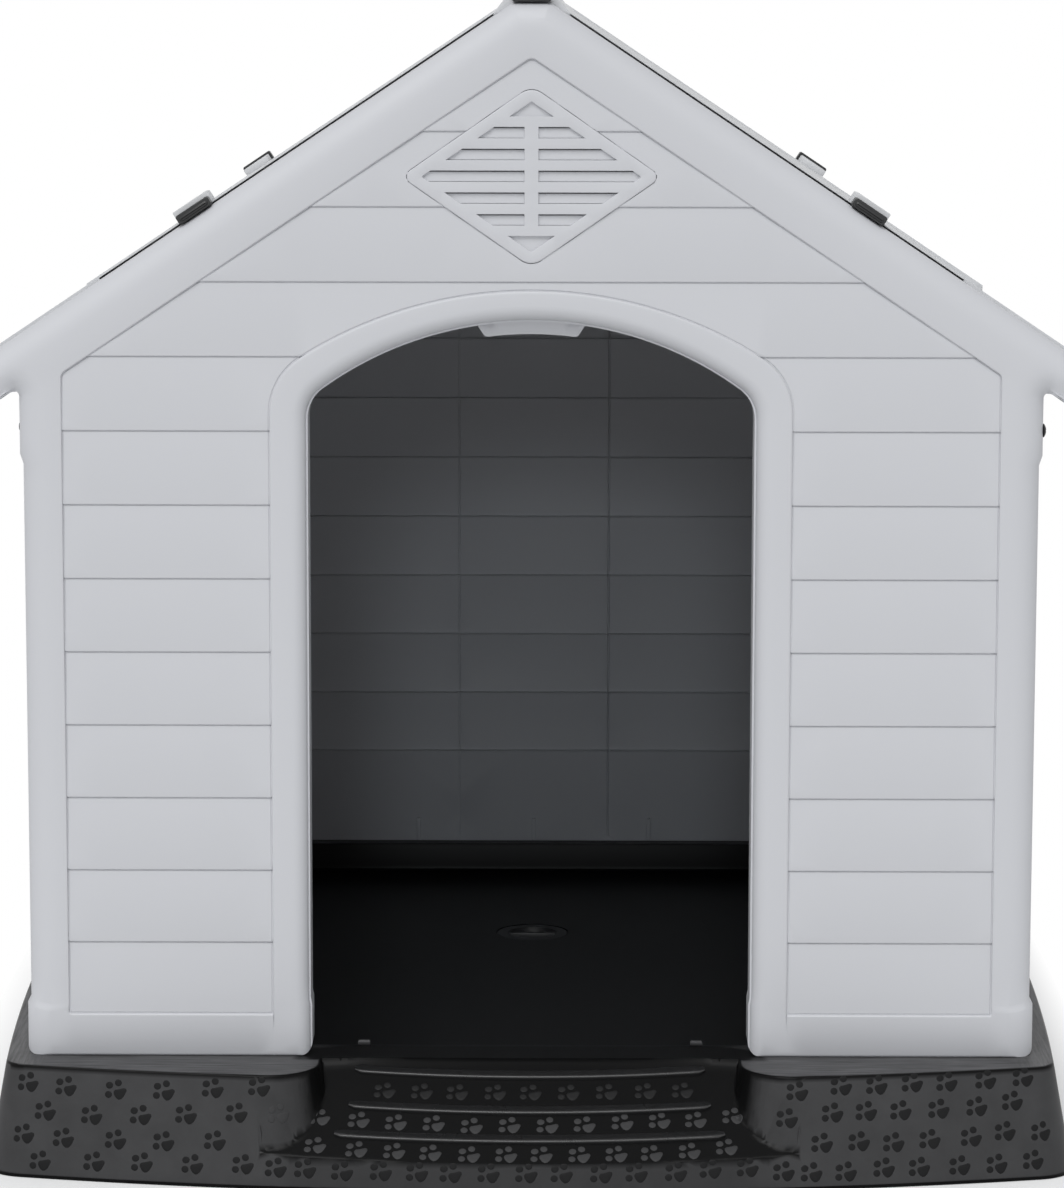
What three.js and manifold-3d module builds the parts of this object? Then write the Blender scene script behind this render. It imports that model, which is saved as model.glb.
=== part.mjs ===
// Moulded plastic dog house: ribbed base with a step, four wall panels, two roof panels,
// louvred vents, roof keys, corner screws, a flap clip and a drain plug.
// Millimetres, +Z up, doorway facing -Y, origin on the ground under the middle of the base.

import * as THREE from 'three';
import { mergeVertices } from 'three/addons/utils/BufferGeometryUtils.js';
import Module from 'manifold-3d';

const wasm = await Module();
wasm.setup();

// ---------------------------------------------------------------- driving dimensions

const GAP = 0.3;                  // clearance between touching pieces
const SKIN = 4;                   // moulded wall thickness

const RIM = 66;                   // height of the base ledge that the walls stand on
const FLOOR = 47;                 // height of the cabin floor
const FRONT = -316;               // outer face of the front wall
const BACK = 348;                 // outer face of the back wall
const RETURN = 30;                // depth of a gable wall from face to back edge
const HALF_WIDTH = 301.5;         // outer half width of a gable wall
const SLEEVE = 2;                 // how far the corner sleeves stand proud of the wall edge

const SLOPE = 2 / 3;              // roof rise over run
const APEX = 708.5;               // height where the two roof lines would meet
const RIDGE = 700;                // height of the flattened ridge
const EAVE = 330;                 // half width at the eave tips
const EAVE_DEPTH = 26;            // thickness of the eave, square to the slope

const BOARD = 44.5;               // height of one clapboard
const BOARD_LOW = 92;             // bottom line of the lowest clapboard
const BOARD_TOP_DEPTH = 5;        // how far a board lies back at its top edge
const BOARD_FOOT_DEPTH = 1;       // and at its bottom edge
const FIELD_HALF = 280;           // half width of the clapboard field
const FIELD_SHOULDER = 482;       // where the field starts to follow the roof
const FIELD_APEX = 669.6;         // top of the field

const DOOR = { half: 133.5, top: 513, arch: 213, corner: 22 };
const DOOR_TRIM = { half: 156, top: 531.5, arch: 258, corner: 40 };

const VENT_Z = 599.2;             // middle of the diamond vent
const VENT_HALF = [73.3, 50.6];   // its outer half width and half height
const VENT_ROW = 12.8;            // spacing of its slots
const VENT_SLOT = 6.8;            // height of a slot
const VENT_BAR = 8;               // width of its middle bar

const KEY_X = 198.5;              // middle of a slope key
const KEY = { length: 26.5, height: 8, depth: 10.7 };
const TONGUE = { width: 18.4, height: 3.2, length: 22 };

// Worked out from the above
const COS = 1 / Math.hypot(1, SLOPE);
const SIN = SLOPE * COS;
const FRAME_BACK = FRONT + RETURN;       // back edge of the front wall
const SIDE_FRONT = FRAME_BACK + GAP;     // front edge of side walls and roof panels
const SIDE_BACK = BACK - RETURN - GAP;
const RIDGE_HALF = (APEX - RIDGE) / SLOPE;

// ---------------------------------------------------------------- solids and their joins

function solid(geometry) {
  const bare = geometry.clone();
  bare.deleteAttribute('normal');
  bare.deleteAttribute('uv');
  const welded = mergeVertices(bare, 1e-4);
  const corners = Array.from(welded.index.array);
  const kept = [];
  for (let i = 0; i < corners.length; i += 3) {
    const [a, b, c] = corners.slice(i, i + 3);
    if (a !== b && b !== c && c !== a) kept.push(a, b, c);
  }
  return new wasm.Manifold(new wasm.Mesh({
    numProp: 3,
    vertProperties: new Float32Array(welded.attributes.position.array),
    triVerts: new Uint32Array(kept),
  }));
}

function geometryOf(manifold) {
  const mesh = manifold.getMesh();
  const geometry = new THREE.BufferGeometry();
  geometry.setAttribute('position', new THREE.BufferAttribute(new Float32Array(mesh.vertProperties), 3));
  geometry.setIndex(Array.from(mesh.triVerts));
  return geometry;
}

const join = (first, ...others) => others.reduce((whole, piece) => whole.add(piece), first);
const cut = (first, ...others) => others.reduce((whole, piece) => whole.subtract(piece), first);

// ---------------------------------------------------------------- outlines and extrusions

// Corners are [x, y] or [x, y, radius]; a rounded corner becomes a short arc.
function rounded(corners, stepDegrees = 22) {
  const points = [];
  corners.forEach(([x, y, radius = 0], i) => {
    const here = new THREE.Vector2(x, y);
    if (radius === 0) {
      points.push(here);
      return;
    }
    const before = new THREE.Vector2(...corners.at(i - 1).slice(0, 2)).sub(here).normalize();
    const after = new THREE.Vector2(...corners[(i + 1) % corners.length].slice(0, 2)).sub(here).normalize();
    const half = Math.acos(THREE.MathUtils.clamp(before.dot(after), -1, 1)) / 2;
    const middle = before.clone().add(after).normalize();
    const centre = here.clone().addScaledVector(middle, radius / Math.sin(half));
    const start = here.clone().addScaledVector(before, radius / Math.tan(half)).sub(centre);
    const end = here.clone().addScaledVector(after, radius / Math.tan(half)).sub(centre);
    const turn = Math.atan2(start.cross(end), start.dot(end));
    const steps = Math.max(2, Math.round(Math.abs(turn) / THREE.MathUtils.degToRad(stepDegrees)));
    for (let k = 0; k <= steps; k++) {
      points.push(start.clone().rotateAround(new THREE.Vector2(), turn * k / steps).add(centre));
    }
  });
  return points;
}

function arc(cx, cy, radius, fromDegrees, toDegrees, steps) {
  return Array.from({ length: steps + 1 }, (_, k) => {
    const angle = THREE.MathUtils.degToRad(fromDegrees + (toDegrees - fromDegrees) * k / steps);
    return [cx + radius * Math.cos(angle), cy + radius * Math.sin(angle)];
  });
}

const mirrored = (points) => points.map(([x, ...rest]) => [-x, ...rest]).reverse();

function extrude(points, depth, options = {}) {
  const outline = points.map((p) => (p.isVector2 ? p : new THREE.Vector2(...p)));
  return new THREE.ExtrudeGeometry(new THREE.Shape(outline), { depth, bevelEnabled: false, ...options });
}

// An outline in X and Z, run from y0 to y1.
function alongY(points, y0, y1) {
  return solid(extrude(points, y1 - y0).rotateX(Math.PI / 2).translate(0, y1, 0));
}

// An outline in Y and Z, run from x0 to x1.
function alongX(points, x0, x1) {
  const turn = new THREE.Matrix4().makeBasis(
    new THREE.Vector3(0, 1, 0), new THREE.Vector3(0, 0, 1), new THREE.Vector3(1, 0, 0));
  return solid(extrude(points, x1 - x0).applyMatrix4(turn).translate(x0, 0, 0));
}

// An outline in X and Y, run from z0 to z1.
function alongZ(points, z0, z1) {
  return solid(extrude(points, z1 - z0).translate(0, 0, z0));
}

function box(x0, x1, y0, y1, z0, z1) {
  return solid(new THREE.BoxGeometry(x1 - x0, y1 - y0, z1 - z0)
    .translate((x0 + x1) / 2, (y0 + y1) / 2, (z0 + z1) / 2));
}

// Rings of equal point count, from low to high, joined by walls and closed by flat ends.
function loft(rings) {
  const count = rings[0].points.length;
  const position = rings.flatMap(({ z, points }) => points.flatMap(([x, y]) => [x, y, z]));
  const index = [];
  for (let r = 0; r + 1 < rings.length; r++) {
    for (let i = 0; i < count; i++) {
      const a = r * count + i;
      const b = r * count + (i + 1) % count;
      index.push(a, b, b + count, a, b + count, a + count);
    }
  }
  const top = (rings.length - 1) * count;
  const flat = (ring) => THREE.ShapeUtils.triangulateShape(ring.points.map((p) => new THREE.Vector2(...p)), []);
  flat(rings[0]).forEach(([a, b, c]) => index.push(a, c, b));
  flat(rings.at(-1)).forEach(([a, b, c]) => index.push(top + a, top + b, top + c));
  const geometry = new THREE.BufferGeometry();
  geometry.setAttribute('position', new THREE.Float32BufferAttribute(position, 3));
  geometry.setIndex(index);
  return solid(geometry);
}

// A point on the right roof slope: along it from the apex, and out square to it.
const onSlope = (along, out) => [along * COS + out * SIN, APEX - along * SIN + out * COS];
const slopeAt = (x, out) => APEX - SLOPE * x + out / COS;

// ---------------------------------------------------------------- base

const BASE = {
  front: -374.5,                  // foremost point of the ledge
  back: 374.5,                    // rearmost point of the ledge
  side: 328.7,                    // widest point of the ledge
  frontBow: 1100,                 // radii of its bowed edges
  backBow: 5000,
  sideBow: 4800,
  corner: 38,
  flareFront: 11,                 // how far the foot stands out past the ledge
  flareSide: 7,
  edge: 5,                        // rounding at the ledge's edge
};

// Plan outline of the base, grown outwards by the given amounts.
function basePlan(growFront, growSide) {
  const corner = BASE.corner + growSide;
  const side = BASE.side + growSide;
  const middle = (BASE.front + BASE.back) / 2;
  const cornerCentre = (end, bow) => {
    let x = side - corner - 6;
    let y = end;
    for (let pass = 0; pass < 20; pass++) {
      y = end + bow - Math.sqrt((bow - corner) ** 2 - x ** 2);
      x = side - BASE.sideBow + Math.sqrt((BASE.sideBow - corner) ** 2 - (y - middle) ** 2);
    }
    return { x, y, endTilt: Math.asin(x / (bow - corner)), sideTilt: Math.asin((middle - y) / (BASE.sideBow - corner)) };
  };
  const degrees = THREE.MathUtils.radToDeg;
  const front = cornerCentre(BASE.front - growFront, BASE.frontBow);
  const back = cornerCentre(-(BASE.back + growFront) + 2 * middle, BASE.backBow);
  back.y = 2 * middle - back.y;
  const frontCentre = BASE.front - growFront + BASE.frontBow;
  const backCentre = BASE.back + growFront - BASE.backBow;
  const right = [
    ...arc(0, frontCentre, BASE.frontBow, -90, -90 + degrees(front.endTilt), 7),
    ...arc(front.x, front.y, corner, -90 + degrees(front.endTilt), -degrees(front.sideTilt), 6).slice(1),
    ...arc(side - BASE.sideBow, middle, BASE.sideBow,
      -degrees(front.sideTilt), degrees(back.sideTilt), 6).slice(1),
    ...arc(back.x, back.y, corner, degrees(back.sideTilt), 90 - degrees(back.endTilt), 6).slice(1),
    ...arc(0, backCentre, BASE.backBow, 90 - degrees(back.endTilt), 90, 3).slice(1),
  ];
  return [...right, ...mirrored(right).slice(1, -1)];
}

const STEP = {
  sill: FRONT - 5,                // where the ramp leaves the sill
  lip: FRONT - 64,                // where it reaches the front lip
  lipHeight: 21,
  block: 157,                     // middle of the round block corners, and their radius
  blockY: FRONT - 19,
  blockRadius: 30,
  blockFlare: 11,
};
const RAMP_RISE = (RIM - STEP.lipHeight) / (STEP.sill - STEP.lip);

// The space over the ramp, between the two blocks; shrink leaves a skin round it.
function stepSpace(skin) {
  const ring = (z) => {
    const radius = STEP.blockRadius + STEP.blockFlare * (RIM - z) / RIM - skin;
    const right = [
      [STEP.block, BASE.front - 60],
      ...arc(STEP.block, STEP.blockY, radius, -90, -180, 6),
      [STEP.block - radius, STEP.sill + skin],
    ];
    return { z, points: [...right, ...mirrored(right)] };
  };
  const drop = skin * Math.hypot(1, RAMP_RISE);
  const rampAt = (y) => RIM + (y - STEP.sill) * RAMP_RISE - drop;
  const far = BASE.front - 80;
  const aboveRamp = [[far, rampAt(far)], [STEP.sill + drop / RAMP_RISE, RIM], [STEP.sill + 20, RIM], [STEP.sill + 20, RIM + 20], [far, RIM + 20]];
  return loft([ring(-2), ring(RIM + 2)]).intersect(alongX(aboveRamp, -200, 200));
}

// Three bowed grip ribs on the ramp, concentric with the front edge.
function rampRibs() {
  const ribs = [
    { down: 0.19, half: 103 },
    { down: 0.50, half: 106 },
    { down: 0.78, half: 114 },
  ];
  return ribs.map(({ down, half }) => {
    const y = STEP.sill + (STEP.lip - STEP.sill) * down;
    const z = RIM + (y - STEP.sill) * RAMP_RISE;
    const bow = BASE.frontBow;
    const tilt = THREE.MathUtils.radToDeg(Math.asin(half / bow));
    const band = [
      ...arc(0, y + bow, bow + 2.5, -90 - tilt, -90 + tilt, 8),
      ...arc(0, y + bow, bow - 2.5, -90 + tilt, -90 - tilt, 8),
    ];
    const bar = [[y - 9, z - 9 * RAMP_RISE - 3], [y + 9, z + 9 * RAMP_RISE - 3],
      [y + 9, z + 9 * RAMP_RISE + 2.5], [y - 9, z - 9 * RAMP_RISE + 2.5]];
    return alongZ(band, STEP.lipHeight, RIM + 4).intersect(alongX(bar, -half, half));
  });
}

const CURB = { out: 289.7, thick: 5, top: 86, nosing: 8, nosingTop: 72, doorway: 142 };
const WELL = {
  x: CURB.out - CURB.thick - CURB.nosing,
  front: FRAME_BACK,
  back: BACK - BOARD_TOP_DEPTH - SKIN - GAP - CURB.thick - CURB.nosing,
};
const DRAIN = { y: 114, hole: 22, seat: 25.5, seatDepth: 1.8 };

function disc(radius, x, y, z0, z1, sides = 32) {
  return solid(new THREE.CylinderGeometry(radius, radius, z1 - z0, sides)
    .rotateX(Math.PI / 2).translate(x, y, (z0 + z1) / 2));
}

function baseTray() {
  const outer = loft([
    { z: 0, points: basePlan(BASE.flareFront, BASE.flareSide) },
    { z: RIM - BASE.edge, points: basePlan(BASE.flareFront * BASE.edge / RIM, BASE.flareSide * BASE.edge / RIM) },
    { z: RIM - BASE.edge * 0.3, points: basePlan(-BASE.edge * 0.3, -BASE.edge * 0.3) },
    { z: RIM, points: basePlan(-BASE.edge, -BASE.edge) },
  ]);
  const hollow = loft([
    { z: -2, points: basePlan(BASE.flareFront - SKIN, BASE.flareSide - SKIN) },
    { z: RIM - SKIN, points: basePlan(-SKIN, -SKIN) },
  ]);
  const wellBox = box(-WELL.x, WELL.x, WELL.front, WELL.back, FLOOR, CURB.top + 10);
  const wellShell = box(-WELL.x - SKIN, WELL.x + SKIN, WELL.front - SKIN, WELL.back + SKIN, FLOOR - SKIN, RIM);

  // Underside ribs, down to the ground.
  const ribHalf = 3;
  const ribs = join(
    box(-BASE.side, BASE.side, -ribHalf, ribHalf, 0, FLOOR),
    ...[-105, 105].map((x) => box(x - ribHalf, x + ribHalf, BASE.front, BASE.back, 0, FLOOR)),
  );
  const space = cut(hollow, wellShell, stepSpace(SKIN), ribs);

  const curbOutline = (inset, top) => box(-CURB.out + inset, CURB.out - inset,
    FRONT + BOARD_TOP_DEPTH + SKIN + GAP + inset, BACK - BOARD_TOP_DEPTH - SKIN - GAP - inset, RIM - 2, top);
  const doorGap = box(-CURB.doorway, CURB.doorway, FRONT, WELL.front + 40, RIM, CURB.top + 1);
  const upstand = cut(curbOutline(0, CURB.top), curbOutline(CURB.thick, CURB.top + 1), doorGap);
  const nosing = cut(curbOutline(CURB.thick - 0.01, CURB.nosingTop), doorGap);

  // Short ribs on the back face of the well.
  const wellRibs = [-87, 0, 87].map((x) => box(x - 1.5, x + 1.5, WELL.back - 3, WELL.back + 1, FLOOR - 1, CURB.nosingTop));
  const lugs = [-102, 102].map((x) => box(x - 6, x + 6, WELL.front - 4, WELL.front + 3, RIM - 6, RIM + 3));

  return join(
    cut(join(outer, upstand, nosing), wellBox, space, stepSpace(0),
      disc(DRAIN.hole, 0, DRAIN.y, FLOOR - SKIN - 1, FLOOR + 1),
      disc(DRAIN.seat, 0, DRAIN.y, FLOOR - DRAIN.seatDepth, FLOOR + 1)),
    ...wellRibs, ...lugs, ...rampRibs());
}

// Lift-out plug with a flange, a tapered stem and a finger bar.
function drainPlug() {
  const top = FLOOR - 0.3;
  const seat = FLOOR - DRAIN.seatDepth + GAP;
  const profile = [[0, seat - 9], [19, seat - 9], [DRAIN.hole - 0.5, seat - 6], [DRAIN.hole - 0.5, seat],
    [DRAIN.seat - 0.5, seat], [DRAIN.seat - 0.5, top], [17, top], [15, top - 5], [0, top - 5]];
  const body = solid(new THREE.LatheGeometry(profile.map((p) => new THREE.Vector2(...p)), 32)
    .rotateX(Math.PI / 2).translate(0, DRAIN.y, 0));
  return join(body, box(-16.5, 16.5, DRAIN.y - 2, DRAIN.y + 2, top - 6, top));
}

// ---------------------------------------------------------------- wall panels

// Door outline from sill to sill, over a flattened arch; bottom sets how low it starts.
function doorway({ half, top, arch, corner }, bottom) {
  const archZ = top - arch;
  const cornerX = half - corner;
  const cornerZ = archZ + Math.sqrt((arch - corner) ** 2 - cornerX ** 2);
  const turn = THREE.MathUtils.radToDeg(Math.atan2(cornerZ - archZ, cornerX));
  const right = [
    [half, bottom],
    ...arc(cornerX, cornerZ, corner, 0, turn, 3),
    ...arc(0, archZ, arch, turn, 90, 6).slice(1),
  ];
  return [...right, ...mirrored(right).slice(1)];
}

const diamond = (scale, grow = 0) => {
  const [w, h] = VENT_HALF.map((v) => v * scale + grow);
  return rounded([[w, VENT_Z, 7], [0, VENT_Z + h, 7], [-w, VENT_Z, 7], [0, VENT_Z - h, 7]]);
};

// Outer edge of a gable wall, with its eaves, corner sleeves and rounded feet.
function gableOutline() {
  const wide = HALF_WIDTH + SLEEVE;
  const right = [
    [wide, RIM + GAP, 8],
    [wide, 97],
    [HALF_WIDTH, 101],
    [HALF_WIDTH, 427],
    [wide, 433],
    [wide, slopeAt(wide, -EAVE_DEPTH), 3],
    [...onSlope(EAVE / COS, -EAVE_DEPTH), 8],
    [...onSlope(EAVE / COS, 0), 10],
    [RIDGE_HALF, RIDGE],
  ];
  return rounded([...right, ...mirrored(right)]);
}

// Clapboard profile as [depth, z] pairs from low to high, offset inwards by skin.
function boardSteps(low, count, skin) {
  const steps = [];
  for (let i = 0; i < count; i++) {
    steps.push([BOARD_FOOT_DEPTH + skin, low + BOARD * i], [BOARD_TOP_DEPTH + skin, low + BOARD * (i + 1) - 0.5]);
  }
  return steps;
}

function fieldOutline() {
  return [[-FIELD_HALF, BOARD_LOW], [FIELD_HALF, BOARD_LOW], [FIELD_HALF, FIELD_SHOULDER],
    [0, FIELD_APEX], [-FIELD_HALF, FIELD_SHOULDER]];
}

// The strip between two heights over the roof lines, out to the given half width.
function roofBand(half, high, low) {
  const edge = (out) => [[half, slopeAt(half, out)], [RIDGE_HALF, slopeAt(RIDGE_HALF, out)]];
  return [...edge(high), ...mirrored(edge(high)), ...mirrored(edge(low).reverse()), ...edge(low).reverse()];
}

// Sawtooth of boards from outer face to far outside, for a face looking along -Y.
function boardStack(skin, count) {
  const outside = FRONT - 2;
  return alongX([[outside, BOARD_LOW], ...boardSteps(BOARD_LOW, count, skin).map(([d, z]) => [FRONT + d, z]),
    [outside, BOARD_LOW + BOARD * count - 0.5]], -FIELD_HALF, FIELD_HALF);
}

const ROOF = {
  channel: -1.5,                  // roof skin beside the raised field, measured out from the roof line
  skin: -5.5,                     // its underside
  plateLow: 1,                    // the raised field reaches over the gable walls, 1 mm clear
  plateHigh: 3.1,
  overlap: 14,
  shelfHigh: -7,                  // shelf of a gable wall under the roof panel
  shelfLow: -11,
};
const SCREW = { z: 448, near: 12, far: 24, hole: 2.3, shank: 2, head: 3.75, dome: 3, length: 13 };
const CLIP = { half: 32.5, drop: 8, neck: 24.5, y0: FRONT + 16, y1: FRONT + 20 };

// A gable wall in the front wall's place: a skin with clapboards, returns all round and a
// shelf that carries the roof panels.
function gableWall(withDoor) {
  const boards = 13;
  const bevel = 6;
  const slab = solid(extrude(gableOutline(), RETURN + 2 * bevel, {
    bevelEnabled: true, bevelThickness: bevel, bevelSize: bevel, bevelOffset: -bevel, bevelSegments: 2,
  }).rotateX(Math.PI / 2).translate(0, FRONT + RETURN + 3 * bevel, 0))
    .intersect(box(-EAVE - 10, EAVE + 10, FRONT - 5, FRAME_BACK, 0, APEX));

  const inner = HALF_WIDTH - SKIN;
  const pocketTop = [[inner, slopeAt(inner, ROOF.shelfLow)], [RIDGE_HALF, slopeAt(RIDGE_HALF, ROOF.shelfLow)]];
  const pocket = alongY([[-inner, 0], [inner, 0], ...pocketTop, ...mirrored(pocketTop)],
    FRONT + SKIN, FRAME_BACK + 1);

  const ventPad = alongY(diamond(1), FRONT - 10, FRAME_BACK);
  let field = cut(alongY(fieldOutline(), FRONT - 3, FRAME_BACK), ventPad);
  if (withDoor) field = cut(field, alongY(doorway(DOOR_TRIM, 0), FRONT - 10, FRAME_BACK));
  const shelf = alongY(roofBand(HALF_WIDTH - 15.5, ROOF.shelfHigh, ROOF.shelfLow), FRAME_BACK - 1, FRAME_BACK + 12);

  let wall = cut(slab, cut(pocket, field.intersect(boardStack(SKIN, boards))), field.intersect(boardStack(0, boards)));
  wall = cut(wall.add(shelf), alongY(diamond(0.95), FRONT - 10, FRAME_BACK + 20),
    alongY(diamond(1), FRONT - 1, FRONT + 2));
  if (withDoor) {
    const grown = { half: DOOR.half + SKIN, top: DOOR.top + SKIN, arch: DOOR.arch + SKIN, corner: DOOR.corner + SKIN };
    const clipSlot = box(-CLIP.neck - GAP, CLIP.neck + GAP, CLIP.y0 - GAP, CLIP.y1 + GAP, DOOR.top - 10, DOOR.top + 10);
    wall = cut(join(wall, alongY(doorway(grown, RIM + GAP), FRONT + 1, FRAME_BACK)),
      alongY(doorway(DOOR, 0), FRONT - 10, FRAME_BACK + 20), clipSlot);
  }
  return cut(wall, screwHole(1, FRONT + SCREW.near), screwHole(-1, FRONT + SCREW.far));
}

function screwHole(side, y) {
  return solid(new THREE.CylinderGeometry(SCREW.hole, SCREW.hole, 40, 12).rotateZ(Math.PI / 2)
    .translate(side * HALF_WIDTH, y, SCREW.z));
}

// Turns a piece of the front wall's frame round to the back wall's.
function turnedToBack(manifold) {
  return solid(geometryOf(manifold).rotateZ(Math.PI).translate(0, FRONT + BACK, 0));
}

function mirroredX(manifold) {
  const geometry = geometryOf(manifold).scale(-1, 1, 1);
  geometry.setIndex(Array.from(geometry.index.array).reverse());
  return solid(geometry);
}

// Right side wall: clapboards outside, a frame round them, and a tongue at each end that
// slips inside the return of the gable wall.
function sideWall(frontScrew, backScrew) {
  const outer = HALF_WIDTH - 2.5;
  const inner = CURB.out + GAP;
  const top = slopeAt(outer, ROOF.skin) - GAP;
  const boards = 9;
  const margin = 22;
  const panel = box(inner, outer, SIDE_FRONT, SIDE_BACK, RIM + GAP, top);
  const boardsAt = (skin, outside) => alongY([[outside, BOARD_LOW],
    ...boardSteps(BOARD_LOW, boards, skin).map(([d, z]) => [outer - d, z]),
    [outside, BOARD_LOW + BOARD * boards - 0.5]], SIDE_FRONT + margin, SIDE_BACK - margin);
  const fieldBox = box(inner - 1, outer, SIDE_FRONT + margin, SIDE_BACK - margin, BOARD_LOW, BOARD_LOW + BOARD * boards - 0.5);
  const back = cut(fieldBox, boardsAt(SKIN, outer + 5));
  const tongueOut = HALF_WIDTH - SKIN - GAP;
  const tongue = (y0, y1) => box(tongueOut - SKIN, tongueOut, y0, y1, RIM + 5, SCREW.z + 17);
  return cut(join(cut(panel, boardsAt(0, outer + 5), back),
    tongue(FRONT + 7, SIDE_FRONT + 1), tongue(SIDE_BACK - 1, BACK - 7)),
  screwHole(1, frontScrew), screwHole(1, backScrew));
}

// ---------------------------------------------------------------- roof and its keys

const FIELD_START = (RIDGE_HALF + 0.2) / COS;      // raised field, along the slope from the apex
const FIELD_END = 257.7 / COS;
const KEY_ALONG = KEY_X / COS;
const KEY_FRONT = FRONT + 5;                       // front of a key's head
const KEY_SEAT = KEY_FRONT + KEY.depth;            // where the head meets its boss
const TONGUE_LOW = ROOF.plateHigh + 0.6;
const RIDGE_TONGUE = { half: 7, low: RIDGE + 3.5 };

// Right roof panel: a skin with a turned-down eave, a raised field of shingle courses that
// reaches over both gable walls, and the bosses that take the keys.
function roofPanel(withRidgeStrip) {
  const eave = EAVE / COS;
  const skin = alongY([
    [GAP / 2, slopeAt(RIDGE_HALF, ROOF.channel)], [GAP / 2, slopeAt(RIDGE_HALF, ROOF.skin)],
    [RIDGE_HALF, slopeAt(RIDGE_HALF, ROOF.skin)], onSlope(eave - SKIN, ROOF.skin),
    onSlope(eave - SKIN, -EAVE_DEPTH), onSlope(eave, -EAVE_DEPTH),
    onSlope(eave, ROOF.channel - 4), onSlope(eave - 4, ROOF.channel),
    [RIDGE_HALF, slopeAt(RIDGE_HALF, ROOF.channel)],
  ], SIDE_FRONT, SIDE_BACK);
  const slab = (from, to, low, high, y0, y1) => alongY(
    [onSlope(from, low), onSlope(to, low), onSlope(to, high), onSlope(from, high)], y0, y1);

  const fieldFront = SIDE_FRONT - ROOF.overlap;
  const fieldBack = SIDE_BACK + ROOF.overlap;
  const plate = slab(FIELD_START, FIELD_END, ROOF.plateLow, ROOF.plateHigh, fieldFront, fieldBack);
  const filling = slab(FIELD_START, FIELD_END, ROOF.channel - 1, ROOF.plateLow + 0.5, SIDE_FRONT, SIDE_BACK);

  // Shingle courses, each deepest under the foot of the course above it.
  const courses = 6;
  const border = 16;
  const pitch = (FIELD_END - FIELD_START - 2 * border) / courses;
  const teeth = Array.from({ length: courses }, (_, i) => FIELD_START + border + pitch * i)
    .flatMap((start) => [onSlope(start, ROOF.plateHigh - 2.4), onSlope(start + pitch - 0.5, ROOF.plateHigh - 0.2)]);
  const above = [onSlope(FIELD_END - border - 0.5, ROOF.plateHigh + 3), onSlope(FIELD_START + border, ROOF.plateHigh + 3)];
  const shingles = alongY([...teeth, ...above], fieldFront + 34, fieldBack - 34);

  const bossDepth = 28;
  const bossHalf = KEY.length / 2 + 1;
  const bossTop = ROOF.plateHigh + 5.7;
  const socketHalf = TONGUE.width / 2 + GAP;
  const bosses = [[fieldFront, 1], [fieldBack, -1]].map(([end, inward]) => {
    const span = (from, to) => (inward > 0 ? [end + from, end + to] : [end - to, end - from]);
    const overTrim = span(0, bossDepth);
    const block = slab(KEY_ALONG - bossHalf, KEY_ALONG + bossHalf, ROOF.plateLow, bossTop, ...overTrim);
    const ridgeBlock = join(
      box(GAP / 2, RIDGE_HALF - 0.3, ...overTrim, RIDGE + 1, RIDGE + 9.7),
      box(GAP / 2, RIDGE_HALF - 0.3, ...span(ROOF.overlap, bossDepth), RIDGE - 4, RIDGE + 2));
    const socket = slab(KEY_ALONG - socketHalf, KEY_ALONG + socketHalf, TONGUE_LOW - GAP,
      TONGUE_LOW + TONGUE.height + GAP, ...span(-1, TONGUE.length + 1));
    const ridgeSocket = box(-1, RIDGE_TONGUE.half + GAP, ...span(-1, TONGUE.length + 1),
      RIDGE_TONGUE.low - GAP, RIDGE_TONGUE.low + TONGUE.height + GAP);
    return { added: join(block, ridgeBlock), removed: join(socket, ridgeSocket) };
  });

  const panel = cut(join(cut(join(skin, plate, filling), shingles), ...bosses.map((b) => b.added)),
    ...bosses.map((b) => b.removed));
  if (!withRidgeStrip) return panel;
  // A strip under the other panel's edge keeps the rain out of the ridge joint.
  const under = slopeAt(RIDGE_HALF, ROOF.skin);
  return join(panel, box(-RIDGE_HALF, 2, SIDE_FRONT + 13, SIDE_BACK - 13, under - GAP - 3, under - GAP),
    box(GAP / 2, 2, SIDE_FRONT + 13, SIDE_BACK - 13, under - GAP - 3, under + 1));
}

// A key on the right slope: a block on the gable trim and a tongue into the roof's boss.
function slopeKey() {
  const bar = (half, low, high, y0, y1) => alongY(
    [onSlope(KEY_ALONG - half, low), onSlope(KEY_ALONG + half, low), onSlope(KEY_ALONG + half, high),
      onSlope(KEY_ALONG - half, high)], y0, y1);
  const seat = KEY_SEAT - GAP;
  return join(bar(KEY.length / 2, GAP, GAP + KEY.height, KEY_FRONT + 1, seat),
    bar(KEY.length / 2 - 1, GAP + 1, GAP + KEY.height - 1, KEY_FRONT, seat),
    bar(TONGUE.width / 2, TONGUE_LOW, TONGUE_LOW + TONGUE.height, seat - 1, seat + TONGUE.length));
}

function ridgeKey() {
  const seat = KEY_SEAT - GAP;
  const half = 11;
  const top = RIDGE + 11;
  return join(box(-half, half, KEY_FRONT + 1, seat, RIDGE + GAP, top),
    box(-half + 1, half - 1, KEY_FRONT, seat, RIDGE + GAP + 1, top - 1),
    box(-RIDGE_TONGUE.half, RIDGE_TONGUE.half, seat - 1, seat + TONGUE.length, RIDGE_TONGUE.low, RIDGE_TONGUE.low + TONGUE.height));
}

// ---------------------------------------------------------------- vents, screws and clip

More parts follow.
